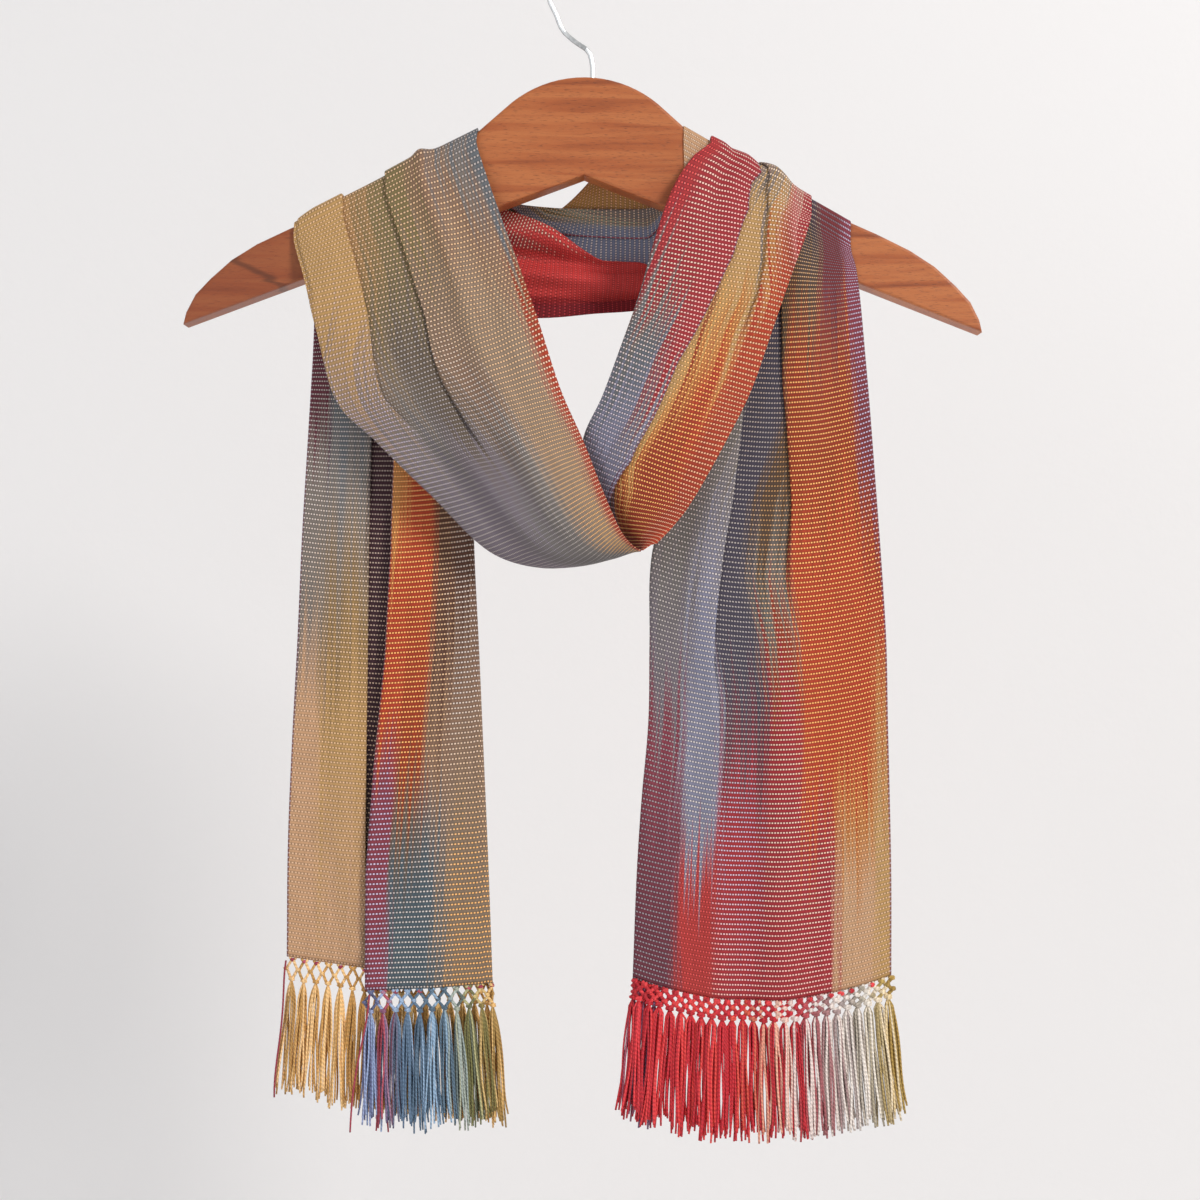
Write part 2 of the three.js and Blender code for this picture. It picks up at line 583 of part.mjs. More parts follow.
// ---------- fringe ----------
// A knotted net hangs just under a tail's hem, and three locks of yarn leave each of its knots.
function fringeUnder(stretch, bundles) {
  const grid = surfaceOf(stretch);
  const hem = grid[grid.length - 1];
  const lowered = (down) => hem.map((point) => vec(point.x, point.y, point.z - down));
  const net = [lowered(1.5 * SEAM), lowered(FRINGE.net + SEAM)];
  let solid = solidOf(wallOn(net, FRINGE.netWall));
  const lengths = [0];
  for (let c = 1; c < hem.length; c += 1) {
    lengths.push(lengths[c - 1] + hem[c].distanceTo(hem[c - 1]));
  }
  const total = lengths[lengths.length - 1];
  const middleX = hem.reduce((sum, point) => sum + point.x, 0) / hem.length;
  const count = bundles * FRINGE.bundle;
  for (let i = 0; i < count; i += 1) {
    const at = (i + 0.5) / count * total;
    let c = 1;
    while (lengths[c] < at) {
      c += 1;
    }
    const t = (at - lengths[c - 1]) / (lengths[c] - lengths[c - 1]);
    const root = hem[c - 1].clone().lerp(hem[c], t);
    const lock = i % FRINGE.bundle - 1;
    solid = solid.add(solidOf(strand(root, lock, i, middleX)));
  }
  return geometryOf(solid);
}

// one lock of yarn, three-sided, tapering, with a slow bend and a little spread from the middle
function strand(root, lock, number, middleX) {
  const sway = 1.1 * Math.sin(number * 1.7);
  const longer = 3 * Math.sin(number * 2.3);
  const spread = (root.x - middleX) * 0.11;
  const depth = lock * 1.1;
  const top = root.z - SEAM - FRINGE.net + 1;
  const drops = [0, 0.25, 1];
  const positions = [];
  drops.forEach((drop) => {
    const radius = drop === 0 ? FRINGE.root : lerp(FRINGE.radius, FRINGE.tip, drop);
    const x = root.x + sway * Math.sin(drop * 2.4) + spread * drop;
    const y = root.y + depth * Math.min(1, drop * 6) * 1.1;
    for (let k = 0; k < 3; k += 1) {
      const angle = 2 * Math.PI * (k / 3 + number * 0.13);
      positions.push(x + radius * Math.cos(angle), y + radius * Math.sin(angle),
        top - drop * (FRINGE.length + longer));
    }
  });
  const index = [0, 1, 2];
  const end = (drops.length - 1) * 3;
  index.push(end, end + 2, end + 1);
  for (let r = 0; r < drops.length - 1; r += 1) {
    for (let k = 0; k < 3; k += 1) {
      const a = r * 3 + k;
      const b = r * 3 + (k + 1) % 3;
      index.push(a, a + 3, b, b, a + 3, b + 3);
    }
  }
  const geometry = new THREE.BufferGeometry();
  geometry.setAttribute('position', new THREE.Float32BufferAttribute(positions, 3));
  geometry.setIndex(index);
  return geometry;
}

// ---------- the object ----------
const LOOKS = {
  wood: { color: 0xbe6a38, roughness: 0.45, metalness: 0 },
  steel: { color: 0xb9bbbd, roughness: 0.3, metalness: 1 },
  olive: { color: 0x9c8a5c, roughness: 0.85, metalness: 0 },
  crimson: { color: 0xb03038, roughness: 0.85, metalness: 0 },
  slate: { color: 0x6f7a86, roughness: 0.85, metalness: 0 },
  orange: { color: 0xc9622f, roughness: 0.85, metalness: 0 },
  sand: { color: 0xc9a36a, roughness: 0.8, metalness: 0 },
};

const scarfOnHanger = new THREE.Group();
function add(name, geometry, look) {
  const mesh = new THREE.Mesh(geometry, new THREE.MeshStandardMaterial(LOOKS[look]));
  mesh.name = name;
  scarfOnHanger.add(mesh);
}

add('hanger_board', hangerBoard(), 'wood');
add('hanger_hook', hangerHook(), 'steel');
add('tail_right', wallOn(surfaceOf(tailRight), WALL), 'orange');
add('tail_left', wallOn(surfaceOf(tailLeft), WALL), 'sand');
add('neck_upper', wallOn(surfaceOf(neckUpper), WALL), 'slate');
add('neck_lower', wallOn(surfaceOf(neckLower), WALL), 'crimson');
add('loop_left', wallOn(surfaceOf(loopLeft), WALL), 'olive');
add('loop_right', wallOn(surfaceOf(loopRight), WALL), 'crimson');
add('fringe_left', fringeUnder(tailLeft, 28), 'sand');
add('fringe_right', fringeUnder(tailRight, 28), 'crimson');

export default scarfOnHanger;
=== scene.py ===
import bpy
import random
import numpy as np
from math import ceil, cos, pi, sin, sqrt
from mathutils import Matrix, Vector


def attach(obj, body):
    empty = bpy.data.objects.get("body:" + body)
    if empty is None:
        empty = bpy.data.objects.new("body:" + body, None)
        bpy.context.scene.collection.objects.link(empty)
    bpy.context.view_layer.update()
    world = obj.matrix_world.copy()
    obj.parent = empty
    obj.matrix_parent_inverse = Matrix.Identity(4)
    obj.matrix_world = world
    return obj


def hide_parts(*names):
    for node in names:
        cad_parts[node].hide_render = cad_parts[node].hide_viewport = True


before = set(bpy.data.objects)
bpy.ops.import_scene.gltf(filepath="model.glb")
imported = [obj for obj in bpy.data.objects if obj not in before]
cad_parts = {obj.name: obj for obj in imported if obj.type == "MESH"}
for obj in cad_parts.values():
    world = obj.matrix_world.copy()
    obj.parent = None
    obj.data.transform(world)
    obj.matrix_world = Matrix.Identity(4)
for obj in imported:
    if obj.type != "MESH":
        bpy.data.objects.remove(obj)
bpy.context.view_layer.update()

MM = 0.001
scene = bpy.context.scene


def put(name, data):
    """A new object in the scene."""
    made = bpy.data.objects.new(name, data)
    scene.collection.objects.link(made)
    return made


# ---------- camera ----------
# Where it stands, how wide the picture is at a depth from it, and its sensor.
VIEW = {"x": 3.3, "y": -1159, "z": -368.6, "width": 669.1, "depth": 1150, "sensor": 36}
FAR = 20  # metres

camera_data = bpy.data.cameras.new("camera")
camera_data.sensor_width = VIEW["sensor"]
camera_data.lens = VIEW["sensor"] * VIEW["depth"] / VIEW["width"]
camera_data.clip_end = FAR
camera = put("camera", camera_data)
camera.location = (VIEW["x"] * MM, VIEW["y"] * MM, VIEW["z"] * MM)
camera.rotation_euler = (pi / 2, 0, 0)
scene.camera = camera

# ---------- driving dimensions ----------
WALL = 0.6  # the cloth
SEAM = 0.25  # air between two stretches
PITCH = 1.1  # from one folded layer to the next
OPEN_FOLD = 0.002  # the share of a turn that counts as lying open
CLEAR_OF_FOLD = 1.2  # plain cloth beside a pleat's own columns
STEP = 3.2  # between two sections
ARC = 7  # steps round a fold
FINE = 6  # plain columns here for each one of the CAD cloth
WAVES = 7  # slow waves that add up to a cloth's unevenness
BOARD = {"thickness": 18, "edge": 1.6, "centre_x": -5, "top_z": -76.7, "tilt": -0.0099}
HUMP = {"radius": 64.7, "half_width": 44.6}
ARM_TOP = [(62.5, -33.7), (70.8, -41), (148.3, -79.5), (163.9, -86.2)]
ARM_END = [(182.3, -95.1), (196.3, -104), (208, -114.6), (216.3, -123.5), (221.4, -133.5),
           (223, -140.2)]


# ---------- small helpers ----------
def lerp(a, b, t):
    return a + (b - a) * t


def clamp(value, low, high):
    return max(low, min(high, value))


def look_up(table, station):
    """A table's row at a station, straight between its entries and held at both ends."""
    if station <= table[0][0]:
        return table[0]
    for before, after in zip(table, table[1:]):
        if station <= after[0]:
            t = (station - before[0]) / (after[0] - before[0])
            return [lerp(a, b, t) for a, b in zip(before, after)]
    return table[-1]


def smooth_row(rows, station):
    """The same on a smooth curve, for the sections of a stretch."""
    i = 0
    while i < len(rows) - 2 and station > rows[i + 1][0]:
        i += 1
    here, there = np.array(rows[i], float), np.array(rows[i + 1], float)
    span = there[0] - here[0]

    def rise(j):
        a, b = rows[max(j - 1, 0)], rows[min(j + 1, len(rows) - 1)]
        return (np.array(b, float) - np.array(a, float)) / (b[0] - a[0])

    t = (station - here[0]) / span
    return ((2 * t ** 3 - 3 * t ** 2 + 1) * here + (t ** 3 - 2 * t ** 2 + t) * span * rise(i)
            + (3 * t ** 2 - 2 * t ** 3) * there + (t ** 3 - t ** 2) * span * rise(i + 1))


def board_top(x):
    """Height of the board's top edge at x, with the slight lean that it hangs at."""
    lean = (x - BOARD["centre_x"]) * BOARD["tilt"]
    upright = abs(x - BOARD["centre_x"])
    corner = -HUMP["radius"] + sqrt(HUMP["radius"] ** 2 - HUMP["half_width"] ** 2)
    edge = [(HUMP["half_width"], corner), *ARM_TOP, *ARM_END]
    sideways = BOARD["tilt"] * look_up([(0, 0), *ARM_TOP, *ARM_END], upright)[1]
    out = abs(x - BOARD["centre_x"] + sideways)
    if out < HUMP["half_width"]:
        return BOARD["top_z"] + lean - HUMP["radius"] + sqrt(HUMP["radius"] ** 2 - out ** 2)
    return BOARD["top_z"] + lean + look_up(edge, out)[1]


# ---------- cloth ----------
RUN_45, REACH_45 = 0.8, 0.71  # along and out of the first 45 degrees of a turn, for a radius of 1
EASE = 2  # mm less cloth than the depth that it hangs down an arm


def over_arm(left_x, right_x, clear, back_clear, back_drop, front_drop, span=None):
    """Rows of a stretch where it lies over an arm, from the back to the front."""
    a, b = span or (left_x, right_x)

    def arm_line(x):
        return lerp(board_top(a), board_top(b), (x - a) / (b - a))

    turn = BOARD["edge"] + clear
    flat = BOARD["thickness"] / 2 - BOARD["edge"]
    low = BOARD["thickness"] / 2 + clear
    back_low = BOARD["thickness"] / 2 + back_clear
    section = [
        (0, back_low, -back_drop),
        (back_drop - EASE, (low + back_low) / 2, -BOARD["edge"]),
        (back_drop + turn * RUN_45 - EASE, flat + turn * REACH_45, turn * REACH_45 - BOARD["edge"]),
        (back_drop + turn * 2 * RUN_45 - EASE, flat, clear),
        (back_drop + turn * 2 * RUN_45 + flat - EASE, 0, clear),
    ]
    middle = section[4][0]
    section += [(2 * middle - section[i][0], -section[i][1], section[i][2]) for i in (3, 2)]
    facing = 2 * middle - section[1][0]
    section += [(facing, -low, -BOARD["edge"]), (facing + front_drop - EASE, -low, -front_drop)]
    return [(station, left_x, y, arm_line(left_x) + z, right_x, y, arm_line(right_x) + z, 0, 0)
            for station, y, z in section]


def fold_shape(pitch, fold):
    """Radius and angle of a fold. It keeps its length of cloth as it opens, so its radius grows."""
    fold = max(fold, OPEN_FOLD)
    return pitch / 2 / fold, pi * fold


def fold_edge(pitch, fold):
    return fold_shape(pitch, fold)[0] * sin(pi * clamp(fold, OPEN_FOLD, 0.5))


def pleat_height(pitch, tuck, fold):
    radius, angle = fold_shape(pitch, fold)
    return 2 * radius * (1 - cos(angle)) + tuck * sin(angle)


def pleat_columns(at, tuck, fold, top, pitch):
    """Columns of one pleat across the cloth, as (across, lift)."""
    radius, angle = fold_shape(pitch, fold)
    height = pleat_height(pitch, tuck, fold)
    edge = fold_edge(pitch, fold)
    turns = [angle * k / ARC for k in range(ARC + 1)]
    points = [(radius * sin(a), height - radius + radius * cos(a)) for a in turns]
    x, z = points[-1]
    for share in (0.33, 0.67):
        points.append((x + share * tuck * cos(angle), z - share * tuck * sin(angle)))
    centre = (x + tuck * cos(angle) + radius * sin(angle),
              z - tuck * sin(angle) + radius * cos(angle))
    points += [(centre[0] - radius * sin(a), centre[1] - radius * cos(a))
               for a in reversed(turns)]
    placed = [(at + top * (s - edge), d) for s, d in points]
    return placed if top > 0 else placed[::-1]


def turn_columns(edge, station):
    """Columns of a turned edge, from the free selvedge to the fold; side 1 turns it outwards."""
    width, curl, pitch = (*look_up(edge["table"], station), PITCH)[1:4]
    count = edge["count"]
    radius, angle = fold_shape(pitch, curl)
    free = (radius - radius * sin(angle), radius - radius * cos(angle))
    points = []
    for k in range(count):
        run = width * (1 - k / count)
        points.append((free[0] - run * cos(angle), free[1] + run * sin(angle)))
    for k in range(ARC, -1, -1):
        a = angle * k / ARC
        points.append((radius - radius * sin(a), radius - radius * cos(a)))
    reach = min(s for s, d in points)
    return [(s - reach, edge["side"] * d) for s, d in points]


def slope(distance, ramp):
    """How much of a pleat's lift is left at a distance from its edge."""
    t = clamp(1 - distance / ramp, 0, 1)
    return t * t * (3 - 2 * t)


def plain_places(start, end, count, before, after):
    """Places of the plain columns between two folds."""
    places = [start]
    a, b = start, end
    if before and before["top"] < 0:
        a = min(before["at"] + before["reach"], lerp(start, end, 0.5))
        places.append(a)
        count -= 1
    if after and after["top"] > 0:
        b = max(after["at"] - after["reach"], lerp(start, end, 0.5))
        count -= 1
    places += [lerp(a, b, k / count) for k in range(1, count + 1)]
    if after and after["top"] > 0:
        places.append(end)
    return places


def section_of(stretch, station, width, swell):
    """The section of a stretch at one station, as (across, lift)."""
    pleats = []
    for pleat in stretch.get("pleats", []):
        at, tuck, fold = look_up(pleat["table"], station)[1:4]
        pitch = pleat.get("pitch", PITCH)
        reach = fold_edge(pitch, fold) + CLEAR_OF_FOLD - tuck * min(0, cos(pi * fold))
        pleats.append({"top": pleat["top"], "ramp": pleat["ramp"], "at": at * width, "reach": reach,
                       "height": pleat_height(pitch, tuck, fold),
                       "columns": pleat_columns(at * width, tuck, fold, pleat["top"], pitch)})
    section = turn_columns(stretch["first_edge"], station) if "first_edge" in stretch else []
    last = turn_columns(stretch["last_edge"], station) if "last_edge" in stretch else []
    last = [(width - s, d) for s, d in reversed(last)]
    bands = [None, *pleats, None]
    for band in range(1, len(bands)):
        before, after = bands[band - 1], bands[band]
        following = after["columns"] if after else last
        begin = section[-1][0] if section else 0
        end = following[0][0] if following else width
        places = plain_places(begin, end, stretch["plain"][band - 1] * FINE, before, after)
        places = places[1 if section else 0:len(places) - (1 if following else 0)]
        for s in places:
            lift = 0
            if before and before["top"] < 0:
                lift += before["height"] * slope(s - before["at"] - before["reach"], before["ramp"])
            if after and after["top"] > 0:
                lift += after["height"] * slope(after["at"] - after["reach"] - s, after["ramp"])
            section.append((s, lift))
        section += following
    s, lift = np.array(section, float).T
    share = np.clip(s / width, 0, 1)
    lift = lift + swell * 4 * share * (1 - share)
    for ridge in stretch.get("ridges", []):
        at, height, half = look_up(ridge, station)[1:]
        lift = lift + height * np.exp(-((s - at * width) / half) ** 2)
    return s, lift


def stations_of(rows):
    stations = []
    for before, after in zip(rows, rows[1:]):
        parts = max(1, ceil((after[0] - before[0]) / STEP))
        stations += [lerp(before[0], after[0], k / parts) for k in range(parts)]
    return stations + [rows[-1][0]]


def surface_of(stretch):
    """Middle surface of a stretch: points[row, column] and how far each lies across the cloth."""
    rows = stretch["rows"]
    edge = stretch.get("last_edge", {})
    points, runs = [], []
    for station in stations_of(rows):
        row = smooth_row(rows, station)
        behind = smooth_row(rows, max(station - 1, rows[0][0]))
        ahead = smooth_row(rows, min(station + 1, rows[-1][0]))
        left = row[1:4]
        across = row[4:7] - left
        width = np.linalg.norm(across)
        across = across / width
        s, lift = section_of(stretch, station, width, row[7])
        share = np.clip(s / width, 0, 1)[:, None]
        goes = lerp(ahead[1:4] - behind[1:4], ahead[4:7] - behind[4:7], share)
        outward = np.cross(goes, across)
        outward /= np.linalg.norm(outward, axis=1)[:, None]
        line = left + s[:, None] * across + lift[:, None] * outward
        line[:, 2] -= row[8] * 4 * share[:, 0] * (1 - share[:, 0])
        if "fall" in edge:
            flap = len(s) - edge["count"]
            turned = max(look_up(edge["table"], station)[1], 1)
            line[flap:, 2] -= look_up(edge["fall"], station)[1] * (width - s[flap:]) / turned
        points.append(line)
        runs.append(np.concatenate([[0], np.cumsum(np.hypot(np.diff(s), np.diff(lift)))]))
    return np.array(points), np.array(runs)


def undulate(points, seed, height):
    """Handloomed cloth never hangs quite flat: a slow seeded unevenness along the normals."""
    draw = random.Random(seed)
    waves = [(draw.uniform(0.03, 0.09), draw.uniform(-0.05, 0.05), draw.uniform(-0.05, 0.05),
              draw.uniform(0, 6.3)) for _ in range(WAVES)]
    lift = sum(np.sin(points[..., 0] * a + points[..., 2] * b + points[..., 1] * c + turn)
               for a, b, c, turn in waves)
    return points + normals_of(points) * (lift * height / len(waves))[..., None]


def normals_of(points):
    along = np.gradient(points, axis=0)
    across = np.gradient(points, axis=1)
    normals = np.cross(along, across)
    return normals / np.maximum(np.linalg.norm(normals, axis=2), 1e-9)[..., None]


def smooth_mesh(name, verts, faces, maps):
    """A smooth-shaded mesh; maps: UV maps by name, with a place for each vertex."""
    mesh = bpy.data.meshes.new(name)
    mesh.from_pydata(verts, [], faces)
    corners = np.empty(len(mesh.loops), dtype=int)
    mesh.loops.foreach_get("vertex_index", corners)
    for key, places in maps.items():
        mesh.uv_layers.new(name=key).data.foreach_set("uv", np.array(places)[corners].ravel())
    mesh.polygons.foreach_set("use_smooth", [True] * len(mesh.polygons))
    return put(name, mesh)


def cloth(name, stretch, seed, unevenness=0.5):
    """A closed thin wall on a stretch, with its own weave map in metres across and along the cloth."""
    points, runs = surface_of(stretch)
    points = undulate(points, seed, unevenness)
    count, width = points.shape[:2]
    lengths = np.linalg.norm(np.diff(points, axis=0), axis=2).mean(axis=1)
    along = np.concatenate([[0], np.cumsum(lengths)])
    shown = float(runs[:, -1].mean())
    runs = runs * shown / runs[:, -1:]
    normals = normals_of(points)
    verts = np.concatenate([(points + side * WALL / 2 * normals).reshape(-1, 3)
                            for side in (1, -1)]) * MM
    back = count * width
    faces = []
    for r in range(count - 1):
        for c in range(width - 1):
            a, b = r * width + c, (r + 1) * width + c
            faces.append((a, b, b + 1, a + 1))
            faces.append((back + a, back + a + 1, back + b + 1, back + b))
    for r in range(count - 1):
        a, b = r * width, (r + 1) * width
        faces.append((a, back + a, back + b, b))
        a, b = a + width - 1, b + width - 1
        faces.append((a, b, back + b, back + a))
    for c in range(width - 1):
        faces.append((c, c + 1, back + c + 1, back + c))
        a = (count - 1) * width + c
        faces.append((a, back + a, back + a + 1, a + 1))
    along_all = np.broadcast_to(along[:, None], runs.shape)
    place = np.stack([runs * MM, along_all * MM], axis=2).reshape(-1, 2)
    piece = smooth_mesh(name, verts.tolist(), faces, {"weave": np.concatenate([place, place])})
    return piece, points, (round(shown * MM, 3), round(float(along[-1]) * MM, 3))


# ---------- materials ----------
def linear(colour):
    """A dye or an sRGB hex colour as linear red, green, blue, alpha."""
    code = DYE.get(colour, colour)
    channels = [int(code[i:i + 2], 16) / 255 for i in (0, 2, 4)]
    return [c / 12.92 if c <= 0.04045 else ((c + 0.055) / 1.055) ** 2.4 for c in channels] + [1]


class Shader:
    """A new material. The methods add nodes to it and return what the last of them puts out."""

    def __init__(self, name):
        self.material = bpy.data.materials.new(name)
        self.material.use_nodes = True
        self.tree = self.material.node_tree
        self.tree.nodes.clear()

    def add(self, kind, inputs=None, output=0, **settings):
        """Any node; an input is a value, or another node's output to link."""
        made = self.tree.nodes.new("ShaderNode" + kind)
        for key, value in settings.items():
            setattr(made, key, value)
        for key, value in (inputs or {}).items():
            if isinstance(value, bpy.types.NodeSocket):
                self.tree.links.new(value, made.inputs[key])
            else:
                made.inputs[key].default_value = value
        return made.outputs[output] if made.outputs else None

    def parts(self, vector):
        return self.add("SeparateXYZ", {0: vector}).node.outputs[:]

    def on_map(self, name):
        """The two places of a UV map."""
        return self.parts(self.add("UVMap", uv_map=name))[:2]

    def ramp(self, place, text, span=1):
        """Colours along a place from 0 to span, from text such as "0 gold, 125 khaki"."""
        stops = [stop.split() for stop in text.split(", ")]
        made = self.add("ValToRGB", {0: place})
        elements = made.node.color_ramp.elements
        while len(elements) < len(stops):
            elements.new(1)
        while len(elements) > len(stops):
            elements.remove(elements[-1])
        for element, (at, colour) in zip(elements, stops):
            element.position = float(at) / span
            element.color = linear(colour)
        return made

    def calc(self, operation, a, b=0.0, c=0.0):
        return self.add("Math", {0: a, 1: b, 2: c}, operation=operation)

    def times(self, a, b):
        return self.calc("MULTIPLY", a, b)

    def scaled(self, value, factor, base):
        return self.calc("MULTIPLY_ADD", value, factor, base)

    def mix(self, a, b, share):
        return self.add("Mix", {0: share, 6: a, 7: b}, output=2, data_type="RGBA")

    def between(self, value, low, high, kind="SMOOTHSTEP"):
        """From 0 at low to 1 at high."""
        return self.add("MapRange", {0: value, 1: low, 2: high}, interpolation_type=kind)

    def shaded(self, colour, shade):
        return self.add("VectorMath", {0: colour, "Scale": shade}, operation="SCALE")

    def noise(self, place, scale, detail, distortion=0.0, rotation=(0, 0, 0)):
        mapped = self.add("Mapping", {"Vector": place, "Rotation": rotation, "Scale": scale})
        return self.add("TexNoise", {"Vector": mapped, "Scale": 1.0, "Detail": detail,
                                     "Distortion": distortion})

    def surface(self, colour, roughness, height, strength, distance, inputs=None):
        """The one surface of the material, with a bump of this height."""
        bump = self.add("Bump", {"Height": height, "Strength": strength, "Distance": distance})
        return self.add("BsdfPrincipled", {"Base Color": colour, "Roughness": roughness, "Normal": bump,
                                           **(inputs or {})})

    def finished(self, surface):
        self.add("OutputMaterial", {0: surface})
        return self.material


RAMP_LENGTH = 700  # mm of cloth on a dye ramp
RIB = 2.72  # mm from one weft rib to the next
END = 1.45  # mm from one dot of the thin line to the next
SELVEDGE = 0.8  # the outermost ends, in one dark colour
FEATHER = (60.0, 40.0)  # mm that the dye runs along single ends, and along groups of them
STRAY = (1.0, 0.6)  # how far single ends and groups of them stray over a band's edge
LINE_SIDE = (0.31, 0.38)  # side of the thin line, in ribs from the crown of the wide rib
DOT_SIDE = (0.34, 0.18)  # side of a dot, in dots from its middle
GROOVE_SIDE = (0.16, 0.3)  # where a wide rib falls away
# Shades, as a factor on each and what it adds to: uneven yarn, groove, dot, gap between warp ends; the
# groove and gap ones are painted shade.
YARN_SHADE, GROOVE_PAINTED_SHADE = (0.17, 1.08), (-0.34, 1.03)
DOT_SHADE, WARP_GAP_PAINTED_SHADE = (0.46, 0.84), (-0.22, 1.05)
# Unevennesses: mm across and along in one grain, and a shift that keeps them apart.
GRAINS = {"streak": (1.5, 260, 3.1), "drift": (14, 400, 11.7), "stray end": (1.4, 70, 29.0),
          "stray group": (6, 120, 41.0), "wobble": (40, 60, 5.0), "bright": (1.2, 9, 63.0),
          "tone": (1.1, 22, 17.0), "rough": (3, 5, 51.0)}


def ikat(name, bands, seed, width, selvedges):
    """Viscose warp, space-dyed before weaving, in a warp-faced rep: a thick and a thin weft take turns,
    so a wide rib of one set of warp ends stands beside a narrow dotted line of the other set. The dye
    feathers along the warp. bands: from mm across, softness, colours along, line colours along;
    selvedges: dye of the first and of the last edge, None for an edge turned under."""
    m = Shader(name)
    calc, times, scaled, between = m.calc, m.times, m.scaled, m.between
    metres = m.add("UVMap", uv_map="weave")
    mm = m.add("VectorMath", {0: metres, 1: (1000, 1000, 0)}, operation="MULTIPLY")
    across, along, _ = m.parts(mm)

    def uneven(grain, detail=2.0):
        """Noise from -1 to 1."""
        size_across, size_along, shift = GRAINS[grain]
        place = m.add("Mapping", {"Vector": mm, "Location": (shift, seed, 0),
                                  "Scale": (1 / size_across, 1 / size_along, 0)})
        noise = m.add("TexNoise", {"Vector": place, "Scale": 1.0, "Detail": detail},
                      noise_dimensions="2D")
        return scaled(noise, 2.0, -1.0)

    def from_middle(turns):
        """Distance from the middle of each repeat, 0 to a half."""
        return calc("ABSOLUTE", calc("SUBTRACT", calc("FRACT", turns), 0.5))

    # the dyed warp: bands across it, each with its own run of colours
    streak = uneven("streak", 1.0)
    drift = uneven("drift")
    feather = scaled(streak, FEATHER[0], scaled(drift, FEATHER[1], along))
    place = calc("DIVIDE", feather, float(RAMP_LENGTH))
    stray = scaled(uneven("stray end"), STRAY[0], times(uneven("stray group"), STRAY[1]))
    main = line = None
    for start, soft, *runs in bands:
        tones = [m.ramp(place, text, RAMP_LENGTH) for text in runs]
        if main is None:
            main, line = tones
            continue
        share = between(scaled(stray, soft * 1.3, across), start - soft, start + soft)
        main, line = m.mix(main, tones[0], share), m.mix(line, tones[1], share)

    # the weave: wide ribs, and between them dotted lines that step by half a dot
    wobble = times(uneven("wobble"), 0.18)
    rib = calc("ADD", calc("DIVIDE", along, RIB), wobble)
    in_rib = from_middle(rib)
    row = calc("FLOOR", calc("ADD", rib, 0.5))
    in_end = from_middle(calc("ADD", calc("DIVIDE", across, END), times(row, 0.5)))
    thin = between(in_rib, *LINE_SIDE)
    dot = between(in_end, *DOT_SIDE)
    dots = times(thin, dot)
    bright = scaled(uneven("bright"), 0.14, 0.94)
    colour = m.mix(main, line, times(times(thin, bright), scaled(dot, 0.86, 0.14)))
    # painted shade: the colour darkens where a wide rib falls away into its groove, as shade would,
    # except on the dots
    painted_groove_shade = times(between(in_rib, *GROOVE_SIDE), calc("SUBTRACT", 1.0, dots))
    warp = from_middle(calc("DIVIDE", across, END / 2))
    shade = times(scaled(uneven("tone"), *YARN_SHADE), scaled(painted_groove_shade, *GROOVE_PAINTED_SHADE))
    shade = times(shade, scaled(dots, *DOT_SHADE))
    # painted shade: the colour darkens in the gaps between warp ends, as shade would; the same measure
    # also sinks the bump there
    colour = m.shaded(colour, times(shade, scaled(warp, *WARP_GAP_PAINTED_SHADE)))
    for dye, to_edge in zip(selvedges, (across, calc("SUBTRACT", width, across))):
        if dye:
            ends = m.mix(linear(dye), linear("lilac"), times(thin, 0.8))
            colour = m.mix(colour, ends, times(between(to_edge, SELVEDGE, SELVEDGE * 0.6), 0.75))

    crown = scaled(times(in_rib, in_rib), -4.0, 1.0)
    height = calc("ADD", times(crown, 0.8), times(dots, 0.75))
    height = calc("ADD", height, times(warp, -0.35))
    return m.finished(m.surface(colour, scaled(uneven("rough"), 0.06, 0.7), height, 0.6, 0.0004, {
        "Sheen Weight": 0.06, "Sheen Roughness": 0.45, "Specular IOR Level": 0.28}))


# The dyer's colours, and the paler ones of the thin dotted lines. The graphite grey holds painted
# shade, and sage, denim, ochre and vermilion painted light, beyond their dyes.
DYE = dict(
    sand="C99C76", gold="C0965E", honey="AA8054", khaki="96774C", olive="82724A", moss="7A6B4C",
    bark="8C6C57", taupe="86725F", umber="66584A", stone="7E746C", pewter="6F6A66", slate="676B70",
    periwinkle="84849A", mauve="746A73", plum="6C333F", wine="3C2028", magenta="8A3A48",
    crimson="A22C33", scarlet="B43A36", brick="963420", orange="B43E24", rust="9A381C",
    apricot="BE7840", rose="BA6660", blush="B08674", teal="4E5C64", graphite="484250",
    cocoa="5C3B2D", loam="564234", maroon="7A3034", tawny="947E6A", sage="A2A896", denim="7E88A2",
    ochre="D0A45C", vermilion="CE3C3A", garnet="7C141E", ivory="DCC6B2", silver="C6BCB6",
    lilac="BCB0C6", pink="E6B4AA", peach="E8AC8A", amber="EEB068", cream="D4AC84", fawn="C8A688",
    ash="A49A96", smoke="8A8288", cherry="CC4A48",
)

# Dyes along the warp, each with its place in mm; these two serve several bands.
GOLD_FROM_75 = "0 blush, 55 stone, 75 gold, "
IVORY_TO_AMBER = "0 ivory, 132 cream, 160 amber"
